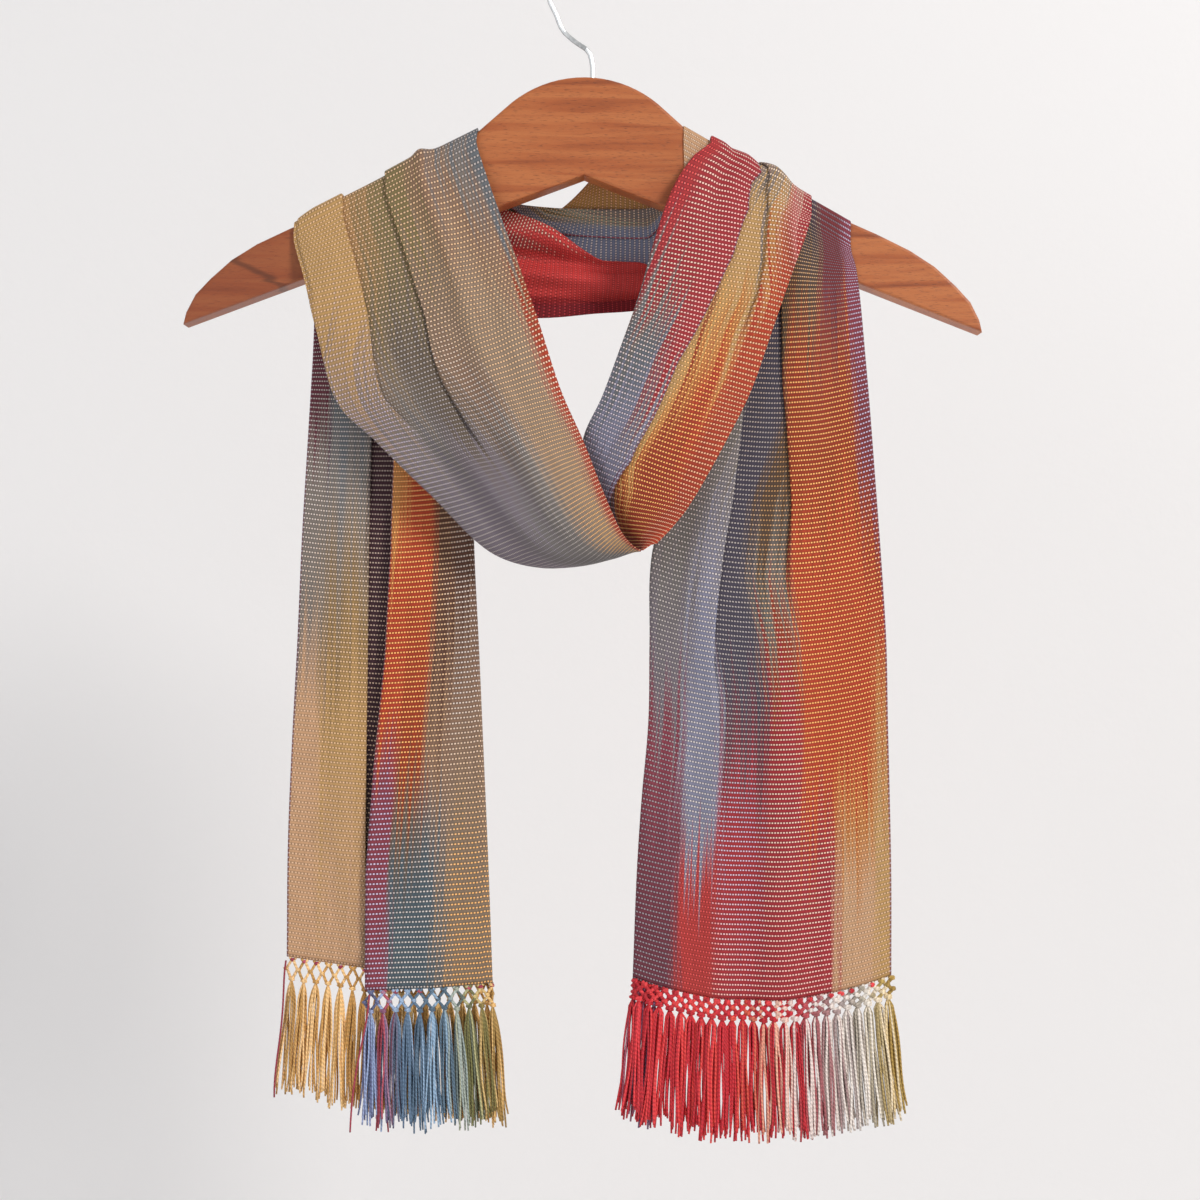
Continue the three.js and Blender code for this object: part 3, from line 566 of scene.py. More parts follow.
# Bands across the cloth: from mm, softness, dyes of the ribs, dyes of the dotted line.
DYES = {}
DYES["loop_left"] = [
    (0, 3, "125 gold, 180 tawny, 215 stone, 250 mauve", "0 cream, 110 fawn, 200 lilac, 250 ash"),
    (40, 8, "0 gold, 60 honey, 95 khaki, 125 moss, 160 taupe, 200 pewter, 245 mauve",
     "0 cream, 120 fawn, 160 ash"),
    (57, 7, "0 khaki, 80 olive, 115 moss, 150 umber, 205 umber, 250 mauve, 300 pewter",
     "110 fawn, 150 ash, 250 smoke"),
    (84, 8, "90 olive, 125 taupe, 190 bark, 230 stone, 290 pewter",
     "0 fawn, 130 cream, 200 silver, 250 silver, 290 ash"),
    (102, 6, "80 bark, 125 tawny, 230 tawny, 290 stone", "0 fawn, 90 cream, 190 cream, 330 amber"),
    (114, 6, "48 slate, 70 stone, 95 bark, 150 tawny", "70 ash, 100 cream, 190 cream, 330 amber"),
    (129, 4, "85 slate, 115 bark, 140 rust, 185 orange, 300 brick",
     "85 ash, 130 cream, 190 ivory, 300 peach"),
]
DYES["loop_right"] = [
    (0, 2, "185 crimson, 215 mauve, 245 periwinkle, 280 plum", "180 pink, 205 ivory, 260 lilac"),
    (9, 3, "145 crimson, 175 slate, 230 periwinkle, 270 mauve", "0 pink, 150 ivory, 260 lilac"),
    (18, 3, "130 crimson, 158 pewter, 185 slate, 230 periwinkle, 270 mauve",
     "0 pink, 130 ivory, 260 lilac"),
    (28, 3, "0 scarlet, 108 crimson, 138 pewter, 170 slate", "95 cherry, 125 silver, 260 lilac"),
    (48, 4, GOLD_FROM_75 + "215 gold, 245 apricot, 270 brick",
     "60 ivory, 150 cream, 230 amber"),
    (65, 0.6, GOLD_FROM_75 + "128 gold, 150 rust, 240 brick", IVORY_TO_AMBER),
    (66.4, 0.6, GOLD_FROM_75 + "170 gold, 200 apricot, 240 brick", IVORY_TO_AMBER),
    (72, 4, GOLD_FROM_75 + "128 gold, 158 apricot, 185 orange, 250 brick", IVORY_TO_AMBER),
    (84, 5, "0 blush, 50 stone, 75 gold, 112 apricot, 140 orange, 280 brick",
     "100 ivory, 150 cream, 280 peach"),
    (97, 4, "45 blush, 65 rose, 108 brick, 140 orange", "0 ivory, 80 pink, 160 cream, 280 peach"),
    (107, 3, "0 rose, 48 crimson, 105 crimson, 135 orange",
     "0 ivory, 105 pink, 160 cream, 280 peach"),
]
DYES["tail_right"] = [
    (0, 2, "92 sand, 125 pewter, 250 pewter, 330 mauve, 370 magenta, 480 plum",
     "0 cream, 100 silver, 340 ash, 400 smoke"),
    (36, 5, "200 stone, 290 periwinkle, 420 periwinkle, 450 scarlet", "420 silver, 450 cherry"),
    # The graphite grey is darker than its dye: painted shade for the valley between this tail's folds.
    (55, 4, "320 graphite, 360 plum, 400 crimson", "0 fawn, 200 ash, 360 ash, 420 lilac, 500 pink"),
    (79, 5, "0 graphite, 110 loam, 225 loam, 280 pewter, 320 rust, 350 crimson",
     "0 fawn, 110 honey, 225 honey, 260 cream, 400 ivory, 500 pink"),
    (98, 4, "0 graphite, 105 loam, 145 brick, 215 rust, 260 orange, 400 orange, 440 crimson",
     "0 ash, 150 amber, 400 amber, 440 ivory, 500 pink"),
    (116, 4, "115 maroon, 165 brick, 215 rust, 260 orange, 380 orange, 415 apricot, 460 sand",
     "120 mauve, 170 amber, 390 amber, 450 fawn"),
    (135, 3, "0 plum, 60 magenta, 150 magenta, 215 maroon, 260 brick, 320 orange, 370 apricot, "
             "430 gold",
     "235 lilac, 280 amber, 390 cream, 440 fawn"),
]
DYES["tail_left"] = [
    (0, 3, "175 plum, 215 stone, 290 stone, 345 sand", "0 ash, 215 silver, 345 fawn"),
    (12, 3, "170 slate, 230 stone, 300 khaki, 360 gold, 480 sand",
     "0 ash, 200 silver, 340 cream, 400 fawn"),
    (36, 4, "400 wine, 480 umber", "0 smoke, 480 fawn"),
    (85, 5, "270 cocoa, 340 bark, 430 taupe", "0 cream, 330 silver, 400 cream, 440 amber"),
    (123, 5, "290 cocoa, 370 bark, 425 teal", "360 cream, 420 silver"),
    (133, 3, "0 rust, 250 orange, 380 rust, 420 umber, 450 teal", "380 amber, 430 ash, 490 silver"),
    (146, 2, "0 gold, 220 apricot, 260 orange, 350 orange, 385 magenta", "350 amber, 390 lilac"),
]
# Sage, denim and ochre here are paler than the cloth's dyes: painted light, making up for the shade
# that falls on the neck under the board.
DYES["neck_upper"] = [
    (0, 2, "0 moss, 90 denim", "0 cream, 110 silver"),
    (6.5, 2, "80 moss, 120 sage, 160 stone, 240 slate", "130 cream, 240 silver"),
    (27, 1, "0 denim", "0 silver"),
    (60, 6, "0 ochre, 240 honey", "0 cream, 240 fawn"),
]
# Vermilion here is paler than the cloth's red: painted light, making up for the shade that falls on the
# neck under the board.
DYES["neck_lower"] = [
    (0, 3, "80 scarlet, 110 vermilion", "82 ivory, 98 cherry"),
    (10, 3, "0 garnet, 60 crimson, 90 scarlet, 110 vermilion",
     "0 crimson, 45 pink, 60 ivory, 78 ivory, 92 cherry"),
    (38, 4, "0 crimson, 80 vermilion", "0 cherry"),
    (57, 4, "0 garnet", "0 crimson"),
]

# Dyes of the first and of the last selvedge, where one shows that isn't turned under.
SELVEDGES = {"tail_left": ("plum", "plum"), "tail_right": (None, "plum"), "loop_right": ("plum", None),
             "neck_upper": ("scarlet", None)}

# On the left arm, in metres: where the wood darkens, and the line of its dark streak,
# z + slope * x = -level.
DARK_END = (-0.12, -0.18)
STREAK = {"slope": 0.574, "level": 0.2874, "waver": 0.012, "half_width": (0.0035, 0.0005)}


def hanger_wood():
    """Oiled cedar-red hardwood, planed and sanded: a warm ground, long soft grain, short dark pores."""
    m = Shader("oiled_hardwood")
    place = m.add("TexCoord", output="Object")
    x, _, z = m.parts(place)
    tilt = (0, 0.06, 0)
    grain = m.noise(place, (9, 60, 170), 5.0, 0.6, tilt)
    ground = m.ramp(grain, "0.25 823F1E, 0.45 A9592C, 0.6 B96C3A, 0.8 A6572C")
    pore = m.between(m.noise(place, (220, 900, 2600), 2.0, 0.0, tilt), 0.58, 0.68, "LINEAR")
    colour = m.mix(ground, linear("54280F"), m.times(pore, 0.6))
    left = m.between(x, *DARK_END, "LINEAR")
    colour = m.mix(colour, linear("7E3A1E"), m.times(left, 0.62))
    # a dark streak of heartwood that runs down the left arm
    line = m.calc("ADD", m.scaled(x, STREAK["slope"], z), m.times(grain, STREAK["waver"]))
    off = m.calc("ABSOLUTE", m.calc("ADD", line, STREAK["level"]))
    streak = m.times(m.between(off, *STREAK["half_width"]), left)
    colour = m.mix(colour, linear("45200F"), m.times(streak, 0.6))
    height = m.scaled(pore, -1.0, 1.0)
    return m.finished(m.surface(colour, m.scaled(grain, 0.25, 0.33), height, 0.4, 0.0002, {
        "Specular IOR Level": 0.5}))


def zinc_wire():
    """Zinc-plated steel wire, drawn and bent: bright, with fine draw marks along it."""
    m = Shader("zinc_plated_wire")
    marks = m.noise(m.add("TexCoord", output="Object"), (900, 900, 300), 3.0)
    tone = m.ramp(marks, "0.3 A9ABAC, 0.7 D0D1D0")
    rough = m.scaled(marks, 0.2, 0.22)
    return m.finished(m.surface(tone, rough, marks, 0.15, 0.0001, {"Metallic": 1.0}))


PLY_TWIST = 2600.0  # radians of twist in a metre of yarn


def fringe_yarn(name, colours, light):
    """The warp ends twisted into plied viscose yarns: silky, with the ply's slanting twist, which
    painted shade bands darker and lighter. The weave map gives the place along the hem, as a share, and
    along the yarn in metres; the pick map gives which set of ends a yarn belongs to with its own tone,
    and the place round it."""
    m = Shader(name)
    hem, run = m.on_map("weave")
    pick, turn = m.on_map("pick")
    colour = m.mix(m.ramp(hem, colours), m.ramp(hem, light), m.calc("GREATER_THAN", pick, 0.6))
    twist = m.scaled(turn, 6.283, m.times(run, PLY_TWIST))
    wave = m.calc("SINE", m.scaled(pick, 300.0, twist))
    # painted shade: the twist's sine darkens and lightens the yarn in slanting bands, the shade between
    # its plies; the pick adds each yarn's own tone
    shade = m.times(m.scaled(wave, 0.15, 0.98), m.scaled(pick, 0.5, 0.84))
    return m.finished(m.surface(m.shaded(colour, shade), 0.6, wave, 0.8, 0.0002, {
        "Sheen Weight": 0.05, "Specular IOR Level": 0.32}))


# ---------- the six stretches ----------
# Rows: station, left or upper edge x y z, right or lower edge x y z, swell, droop.
# Pleats: station, place across, tuck, fold. Edges: station, width, curl, and pitch if not PITCH.
# Ridges: station, place across, height, half width.
TAIL_CLEAR = WALL / 2 + SEAM
LOOP_CLEAR = TAIL_CLEAR + WALL + 4.6 * SEAM
RIGHT_ARM_SPAN = (50, 143)
LOOP_BACK = 5
LOOP_END = (17.2, -9, -342.4, 25.5, -42, -342.1)

loop_left = dict(
    rows=[
        *over_arm(-167, -65, LOOP_CLEAR, LOOP_BACK, 26, 9),
        (76, -161, -17, -189, -52, -17, -155, 1, 2),
        (108, -153, -22, -220, -41, -20, -185, 3, 4),
        (147, -141, -28, -260, -30, -26, -217, 6, 5),
        (178, -119, -33, -282, -18.5, -31, -253, 8, 4),
        (214, -89, -36, -311, -6, -37, -282, 9, 3),
        (250, -57, -34, -342, 5.5, -41, -311, 8, 2),
        (276, -27, -27, -351, 14, -43, -330, 6, 1),
        (300, 2, -17, -346.5, 20.6, -43, -338.8, 3, 0),
        (318, *LOOP_END, 0, 0),
    ],
    first_edge=dict(side=-1, count=8, table=[
        (86, 0.4, 0), (94, 0.4, 1), (125, 16, 1), (270, 16, 1), (298, 0.4, 1), (308, 0.4, 0)]),
    pleats=[
        dict(top=1, ramp=22, table=[
            (0, 0.27, 14, 1), (105, 0.26, 14, 1), (155, 0.21, 0.4, 1), (185, 0.22, 0.4, 0),
            (300, 0.33, 0.4, 0)]),
        dict(top=-1, ramp=20, table=[
            (0, 0.49, 14, 1), (118, 0.52, 13, 1), (172, 0.49, 0.4, 1), (206, 0.47, 0.4, 0),
            (300, 0.6, 0.4, 0)]),
    ],
    ridges=[
        [(28, 0.7, 0, 3), (40, 0.7, 2.5, 4), (66, 0.7, 2.5, 5), (110, 0.72, 4, 7), (180, 0.72, 4, 8),
         (214, 0.66, 4, 8), (250, 0.6, 3, 8), (300, 0.6, 0, 8)],
        [(50, 0.62, 0, 5), (80, 0.62, -2, 6), (140, 0.6, -3, 8), (214, 0.52, -4, 9), (250, 0.5, -3, 9),
         (290, 0.5, 0, 9)],
        [(120, 0.86, 0, 6), (160, 0.86, 2.2, 7), (240, 0.8, 2.2, 7), (290, 0.8, 0, 7)],
        [(178, 0.36, 0, 7), (205, 0.36, 3.5, 8), (250, 0.36, 3, 8), (290, 0.36, 0, 8)],
        [(160, 0.2, 0, 7), (190, 0.2, -2.5, 8), (250, 0.22, -2.5, 8), (290, 0.2, 0, 8)],
    ],
    plain=[3, 3, 7],
)

loop_right = dict(
    rows=[
        *over_arm(65, 121, LOOP_CLEAR, LOOP_BACK, 26, 8, RIGHT_ARM_SPAN)[:-1],
        (54.4, 56, -11.5, -121.5, 121, -11.3, -153.3, 0, 0),
        (66, 44, -17, -141, 119, -16, -161, 1, 1),
        (92, 34, -20, -170, 110, -21, -185, 4, 2),
        (122, 25.5, -23, -200, 99.5, -26, -215, 6, 3),
        (155, 16, -25, -227, 86.5, -31, -252, 7, 3),
        (185, 5, -25, -257, 73.6, -36, -278, 7, 3),
        (213, -5.5, -23, -281, 57.6, -40, -307, 6, 2),
        (236, -5, -19, -305, 47.7, -42, -322, 5, 1),
        (258, 3.5, -14, -327, 36.3, -43, -334.5, 3, 0),
        (278, LOOP_END[0] + 1.2, LOOP_END[1], LOOP_END[2] + 0.6, LOOP_END[3] + 1.2, LOOP_END[4],
         LOOP_END[5] + 0.6, 0, 0),
    ],
    first_edge=dict(side=1, count=18, table=[
        (0, 12, 1, PITCH), (30, 17, 1, PITCH), (40, 22, 1, PITCH), (47, 28, 1, PITCH), (56, 36, 1, 1.6),
        (66, 42, 1, 2), (92, 42, 1, 2.4), (122, 36.5, 1, 2.5), (155, 31, 1, 2.6), (213, 30, 1, 2.4),
        (245, 14, 1, 2), (262, 0.4, 1, PITCH), (270, 0.4, 0, PITCH)]),
    last_edge=dict(side=-1, count=8, table=[
        (66, 0.4, 0), (74, 0.4, 1), (110, 15, 1), (230, 15, 1), (260, 0.4, 1), (268, 0.4, 0)]),
    pleats=[
        dict(top=-1, ramp=14, table=[
            (0, 0.5, 9, 1), (30, 0.44, 3, 1), (40, 0.47, 1.5, 1), (47, 0.54, 1.5, 1), (56, 0.64, 2, 1),
            (66, 0.7, 3, 1), (92, 0.79, 3, 1), (108, 0.82, 0.4, 1), (135, 0.8, 0.4, 0),
            (258, 0.66, 0.4, 0)]),
    ],
    ridges=[
        [(92, 0.3, 0, 10), (140, 0.35, 2, 10), (200, 0.4, 3, 10), (250, 0.5, 0, 10)],
        [(26, 0.1, 0, 9), (48, 0.14, 0.9, 9), (70, 0.14, 0, 9)],
        [(30, 0.18, 0, 3), (42, 0.18, -0.6, 3), (50, 0.22, -0.9, 3), (60, 0.28, -1.4, 3.4),
         (72, 0.34, -1.2, 5), (86, 0.36, 0, 6)],
        [(26, 0.32, 0, 5), (36, 0.32, 1.6, 5), (48, 0.36, 1.2, 5), (64, 0.42, 0, 6)],
        [(24, 0.56, 0, 8), (36, 0.58, 2.6, 9), (60, 0.76, 3, 9), (100, 0.88, 2.6, 9), (150, 0.8, 0, 9)],
    ],
    plain=[5, 4],
)

tail_right = dict(
    rows=[
        *over_arm(*RIGHT_ARM_SPAN, TAIL_CLEAR, TAIL_CLEAR, 26, 14),
        (90, 52, -9.6, -165, 146, -9.6, -184, 0, 3),
        (116, 53, -10.6, -201, 148.3, -10.4, -202, 0, 6),
        (144, 52.6, -10.6, -229, 150.8, -10.6, -229.5, 0.5, 7.5),
        (172, 52, -10.6, -257, 153.2, -10.8, -257, 1, 9),
        (217, 43.5, -10.6, -301, 156.5, -11, -301, 1.5, 10),
        (262, 32.5, -10.6, -344, 159.8, -11, -346, 2, 11),
        (310, 31.5, -10.6, -391, 162.6, -11, -392, 2, 11),
        (354, 30.5, -10.6, -435.5, 163.5, -11, -435.5, 2, 11),
        (399, 26.7, -10.6, -480, 164.6, -11, -480, 2, 11),
        (444, 24, -10.6, -524.6, 165.4, -11, -524.6, 2, 10),
        (498, 21.7, -10.6, -579, 165.4, -11, -577.5, 2, 13),
    ],
    first_edge=dict(side=-1, count=8, table=[
        (130, 0.4, 0, PITCH), (160, 0.4, 1, PITCH), (220, 16, 1, 1.8), (460, 16, 1, 2),
        (498, 14, 1, 2)]),
    pleats=[
        dict(top=1, ramp=16, table=[
            (100, 0.3, 1, 0), (118, 0.3, 1, 1), (150, 0.3, 9, 1), (262, 0.3, 9, 1),
            (300, 0.27, 1, 1), (340, 0.26, 1, 0)]),
        dict(top=-1, ramp=18, table=[
            (68, 0.54, 1, 0), (82, 0.54, 1, 1), (105, 0.54, 10, 1), (160, 0.53, 9, 1),
            (200, 0.57, 3, 1), (222, 0.59, 0.5, 1), (285, 0.6, 0.5, 0)]),
    ],
    ridges=[
        [(262, 0.25, 0, 9), (354, 0.3, 3, 9), (498, 0.32, 3, 9)],
        [(262, 0.6, 0, 12), (354, 0.58, 3, 12), (498, 0.58, 3.5, 12)],
        [(262, 0.45, 0, 8), (354, 0.45, -2, 8), (498, 0.45, -1.5, 8)],
    ],
    plain=[3, 3, 5],
)

tail_left = dict(
    rows=[
        *over_arm(-157, -76, TAIL_CLEAR, TAIL_CLEAR, 26, 14),
        (88, -156.5, -9.6, -184, -73, -9.6, -150, 0, 1),
        (120, -156, -10.4, -217.6, -70, -10.4, -200, 0, 2),
        (176, -159, -10.4, -273, -68.5, -10.4, -270, 0.5, 3),
        (238, -162.7, -10.4, -335, -67, -10.4, -337, 1, 3),
        (294, -165.2, -10.4, -391, -64, -10.4, -395, 1, 2),
        (353, -168.3, -10.4, -450, -61.3, -10.4, -457, 1, 1),
        (408, -170.5, -10.4, -505.6, -58.8, -10.4, -515, 1, 1),
        (468, -171.1, -10.4, -567, -56.5, -10.4, -581, 1, 1),
    ],
    last_edge=dict(side=1, count=24, table=[
        (70, 3, 0, PITCH), (80, 3, 1, PITCH), (100, 34, 1, PITCH), (176, 40, 1, 4.6),
        (238, 43, 1, 5.6), (294, 49, 1, 6), (353, 58, 1, 6), (408, 65, 1, 6), (468, 68, 1, 6)],
        fall=[(176, 0), (468, 11)]),
    pleats=[
        dict(top=1, ramp=16, table=[
            (88, 0.4, 1, 0), (112, 0.4, 1, 1), (176, 0.39, 9, 1), (408, 0.39, 9, 1),
            (450, 0.39, 1, 1), (468, 0.39, 1, 0)]),
    ],
    ridges=[[(176, 0.72, 0, 10), (294, 0.72, 1.5, 10), (468, 0.72, 2, 10)]],
    plain=[5, 6],
)


def neck_end(station, joined, swapped):
    """A neck stretch starts or ends just below the back end of the stretch that it joins."""
    row = joined["rows"][0]
    left = (row[1], row[2], row[3] - 2 * SEAM)
    right = (row[4], row[5], row[6] - 2 * SEAM)
    return (station, *right, *left, 0, 0) if swapped else (station, *left, *right, 0, 0)


neck_upper = dict(
    rows=[
        neck_end(0, loop_left, True),
        (28, -51, 20, -141, -120, 22, -203, 2, 0),
        (62, -24, 23, -144, -50, 25, -197, 3, 0),
        (90, 2, 22.5, -145, 0, 24.5, -179, 3, 0),
        (118, 30, 20.5, -145, 32, 24.5, -179, 2, 0),
        (133, 40, 16.5, -142, 54, 19.5, -180.5, 2, 0),
        (150, 44, 12.6, -139, 92, 12.5, -186, 1, 0),
        neck_end(176, tail_right, False),
    ],
    first_edge=dict(side=-1, count=6, table=[
        (20, 3, 0), (40, 4, 1), (60, 14, 1), (118, 16, 1), (140, 1, 1), (156, 1, 0)]),
    last_edge=dict(side=1, count=16, table=[
        (0, 3, 0, PITCH), (14, 3, 1, PITCH), (40, 28, 1, PITCH), (62, 52, 1, 2), (90, 56, 1, 2),
        (118, 44, 1, 2), (138, 6, 1, PITCH), (150, 3, 0, PITCH)]),
    plain=[5],
)

neck_lower = dict(
    rows=[
        neck_end(0, tail_left, True),
        (30, -54, 12.5, -146, -100, 14, -206, 1, 0),
        (62, -26, 15, -155.5, -34, 16, -208, 2, 0),
        (92, 2, 17, -174, 2, 18, -205, 2, 0),
        (105, 16, 18, -175.5, 15, 20, -204, 2, 0),
        (118, 29, 19, -176.5, 28, 21.5, -203, 2, 0),
        (130, 43, 22, -184, 44, 23.5, -203.5, 2, 0),
        (146, 62, 25, -180, 80, 25, -204, 1, 0),
        neck_end(176, loop_right, False),
    ],
    pleats=[
        dict(top=1, ramp=12, table=[
            (0, 0.38, 0.4, 0), (16, 0.38, 0.4, 1), (34, 0.5, 10, 1), (62, 0.64, 12, 1), (92, 0.6, 9, 1),
            (118, 0.5, 6, 1), (146, 0.4, 0.4, 1), (170, 0.36, 0.4, 0)]),
        dict(top=1, ramp=6, table=[
            (0, 0.86, 0.4, 0), (16, 0.86, 0.4, 1), (34, 0.88, 2, 1), (62, 0.92, 2, 1), (92, 0.9, 2, 1),
            (118, 0.88, 2, 1), (146, 0.86, 0.4, 1), (170, 0.86, 0.4, 0)]),
    ],
    ridges=[
        [(30, 0.5, 0, 5), (50, 0.56, -3, 5), (70, 0.52, -5, 5.5), (92, 0.42, -5.5, 6.5),
         (118, 0.36, -5, 7), (150, 0.36, 0, 7)],
        [(30, 0.3, 0, 5), (50, 0.38, 2.5, 5), (70, 0.32, 3, 5), (92, 0.12, 2.5, 4), (112, 0.1, 0, 4)],
        [(24, 0.14, 0, 5), (44, 0.16, -2, 5), (66, 0.1, -2, 5), (84, 0.1, 0, 5)],
    ],
    plain=[4, 4, 2],
)

STRETCHES = {
    "tail_right": (tail_right, "hung"), "tail_left": (tail_left, "hung"),
    "neck_upper": (neck_upper, "draped"), "neck_lower": (neck_lower, "draped"),
    "loop_left": (loop_left, "draped"), "loop_right": (loop_right, "draped"),
}


# ---------- fringe ----------
YARN_SIDES = 6


class Tubes:
    """Round yarns gathered into one mesh, with where they sit on the hem and along themselves."""

    def __init__(self):
        self.verts, self.faces, self.weave, self.pick = [], [], [], []

    def yarn(self, path, radius, share, pick, tip=1.0):
        """One yarn down a path; tip: how thick its end is for its radius."""
        path = [Vector(p) for p in path]
        first, sides, travelled = len(self.verts), YARN_SIDES, 0.0
        side = Vector((0, 1, 0))
        for i, point in enumerate(path):
            direction = path[min(i + 1, len(path) - 1)] - path[max(i - 1, 0)]
            direction.normalize()
            if i:
                travelled += (point - path[i - 1]).length * MM
            side = side - direction * side.dot(direction)
            if side.length < 1e-6:
                side = Vector((1, 0, 0))
            side.normalize()
            other = direction.cross(side)
            thick = radius * tip if i == len(path) - 1 else radius
            for k in range(sides):
                angle = 2 * pi * k / sides
                offset = (side * cos(angle) + other * sin(angle)) * thick
                self.verts.append((point + offset) * MM)
                self.weave.append((share, travelled))
                self.pick.append((pick, k / sides))
        for i in range(len(path) - 1):
            for k in range(sides):
                a, b = first + i * sides + k, first + i * sides + (k + 1) % sides
                self.faces.append((a, b, b + sides, a + sides))
        self.faces.append(tuple(first + k for k in reversed(range(sides))))
        end = first + (len(path) - 1) * sides
        self.faces.append(tuple(end + k for k in range(sides)))

    def piece(self, name, material):
        verts = [tuple(v) for v in self.verts]
        piece = smooth_mesh(name, verts, self.faces, {"weave": self.weave, "pick": self.pick})
        piece.data.materials.append(material)
        return piece


BUNDLES = 28  # tassels along a hem
TASSEL_END, STRAND_END = 75.5, 76  # how far down tassels and single strands reach
TASSEL = {"wide": 2.9, "deep": 1.6, "lean": 0.085, "tip": 0.9}
FREE_STEPS = 14  # steps down a yarn that hangs
KNOT_STEPS, KNOT_TURN = 8, 6  # steps round a knot, and how many make one turn
# Nets: depths of the rows of knots, with the tassels from the last one; yarns in a tassel and their
# radius; radius of a cord; "red", the share along the hem whose dye most knots of the first row have;
# "open", how soon a tassel opens.
NETS = {
    "fringe_left": {"rows": [1.5, 6.6, 12], "yarns": 13, "radius": 0.56, "cord": 0.85, "red": 0.94,
                    "open": 6},
    "fringe_right": {"rows": [1.4, 4.4, 7.4, 10.4], "yarns": 12, "radius": 0.66, "cord": 1.1,
                     "red": 0.2, "open": 14},
}


def fringe(name, hem, material, seed, odd=()):
    """Cords knotted into a net under the hem, and a tassel of plied yarns from each knot of its last
    row. odd: single strands of another dye, as the share along the hem and how far they lean."""
    draw = random.Random(seed)
    tubes = Tubes()
    runs = np.concatenate([[0], np.cumsum(np.linalg.norm(np.diff(hem, axis=0), axis=1))])
    middle = hem[:, 0].mean()
    net = NETS[name]
    rows, thick = net["rows"], net["cord"]

    def hem_at(share):
        at = clamp(share, 0, 1) * runs[-1]
        return np.array([np.interp(at, runs, hem[:, k]) for k in range(3)])

    def under(share, depth):
        place = hem_at(share) + np.array([0, 0, -depth])
        place[0] += (place[0] - middle) * depth * 0.001
        return place

    def inward(level):
        """Rows take turns: knots in the middle of the bundles, as in the last row, or between them."""
        return (len(rows) - 1 - level) % 2 == 0

    def joint(level, j):
        return (j + 0.5) / BUNDLES if inward(level) else j / BUNDLES

    def knot(centre, share, size, radius):
        path = []
        for k in range(KNOT_STEPS + 1):
            turn = 2 * pi * k / KNOT_TURN + draw.uniform(-0.2, 0.2)
            path.append(centre + np.array([size * cos(turn), -size * 0.8 * sin(turn),
                                           size * 0.5 - size * k / KNOT_STEPS + 0.3 * sin(turn)]))
        tubes.yarn(path, radius, share, draw.random())

    def hang(top, share, length, fan, deep, spread):
        wave, phase = draw.uniform(0.2, 0.8), draw.uniform(0, 6.3)
        flick = draw.uniform(-1.4, 1.4)
        path = []
        for k in range(FREE_STEPS + 1):
            t = k / FREE_STEPS
            open_up = min(1, t * net["open"]) ** 0.6
            sway = wave * sin(phase + t * 6) * open_up
            path.append(top + np.array([
                fan * open_up * (0.62 + 0.7 * t) + spread * t + sway + flick * t ** 6,
                deep * open_up - 0.2,
                -length * t - 0.4]))
        tubes.yarn(path, net["radius"], share, draw.random(), TASSEL["tip"])

    for cord in range(2 * BUNDLES):
        share = (cord + 0.5) / (2 * BUNDLES)
        path = [hem_at(share) + np.array([0, 0, -0.2])]
        for level, depth in enumerate(rows):
            at = joint(level, cord // 2 if inward(level) else (cord + 1) // 2)
            place = under(at, depth + draw.uniform(-0.3, 0.3))
            side = 1 if (cord + level) % 2 else -1
            gap = lerp(path[-1], place, 0.5)
            gap[0] += 0.25 * side
            gap[1] -= 0.5 * (1 if (cord // 2 + level) % 2 else -1)
            place[0] += 0.45 * side
            place[1] -= 0.3 * side
            path += [gap, place]
        tubes.yarn(path, thick, share, draw.random())
    for level, depth in enumerate(rows[:-1]):
        for j in range(BUNDLES if inward(level) else BUNDLES + 1):
            at = joint(level, j)
            dyed = net["red"] if level == 0 and draw.random() < 0.6 else clamp(at, 0.003, 0.997)
            knot(under(at, depth), dyed, thick * 1.05, thick * 0.85)
    for j in range(BUNDLES):
        share = (j + 0.5) / BUNDLES
        top = under(share, rows[-1] + draw.uniform(-0.7, 0.7))
        knot(top, share, thick * 1.45, thick * 0.9)
        spread = (top[0] - middle) * TASSEL["lean"] + draw.uniform(-1.0, 1.0)
        length = TASSEL_END - rows[-1] + draw.uniform(-2.5, 2.5)
        for y in range(net["yarns"]):
            turn = 2 * pi * (y + 0.6 * draw.random()) / net["yarns"]
            fan = TASSEL["wide"] * cos(turn) * (0.75 + 0.5 * draw.random())
            deep = TASSEL["deep"] * sin(turn)
            dyed = clamp(share + draw.uniform(-0.5, 0.5) / BUNDLES, 0.003, 0.997)
            hang(top, dyed, length + draw.uniform(-6, 3), fan, deep, spread)
    for share, lean in odd:
        hang(under(share, rows[0]) + np.array([0, -2.2, 0]), net["red"], STRAND_END, 0, 0, lean)
    return tubes.piece(name + "_yarns", material)


# ---------- making the pieces ----------
CLOTH_SEED, IKAT_SEED, FRINGE_SEED = 11, 7.3, 31
ODD_STRANDS = {"fringe_left": [(0.0, -7), (0.985, -12)]}

cloth_pieces = {}
for number, (name, (stretch, held)) in enumerate(STRETCHES.items()):
    piece, points, flat = cloth(name + "_cloth", stretch, CLOTH_SEED + number)
    material = ikat("ikat_viscose_" + name, DYES[name], IKAT_SEED * (number + 1), flat[0] / MM,
                    SELVEDGES.get(name, ()))
    piece.data.materials.append(material)
    cloth_pieces[name] = (piece, points, flat)
    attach(piece, "root")
    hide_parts(name)

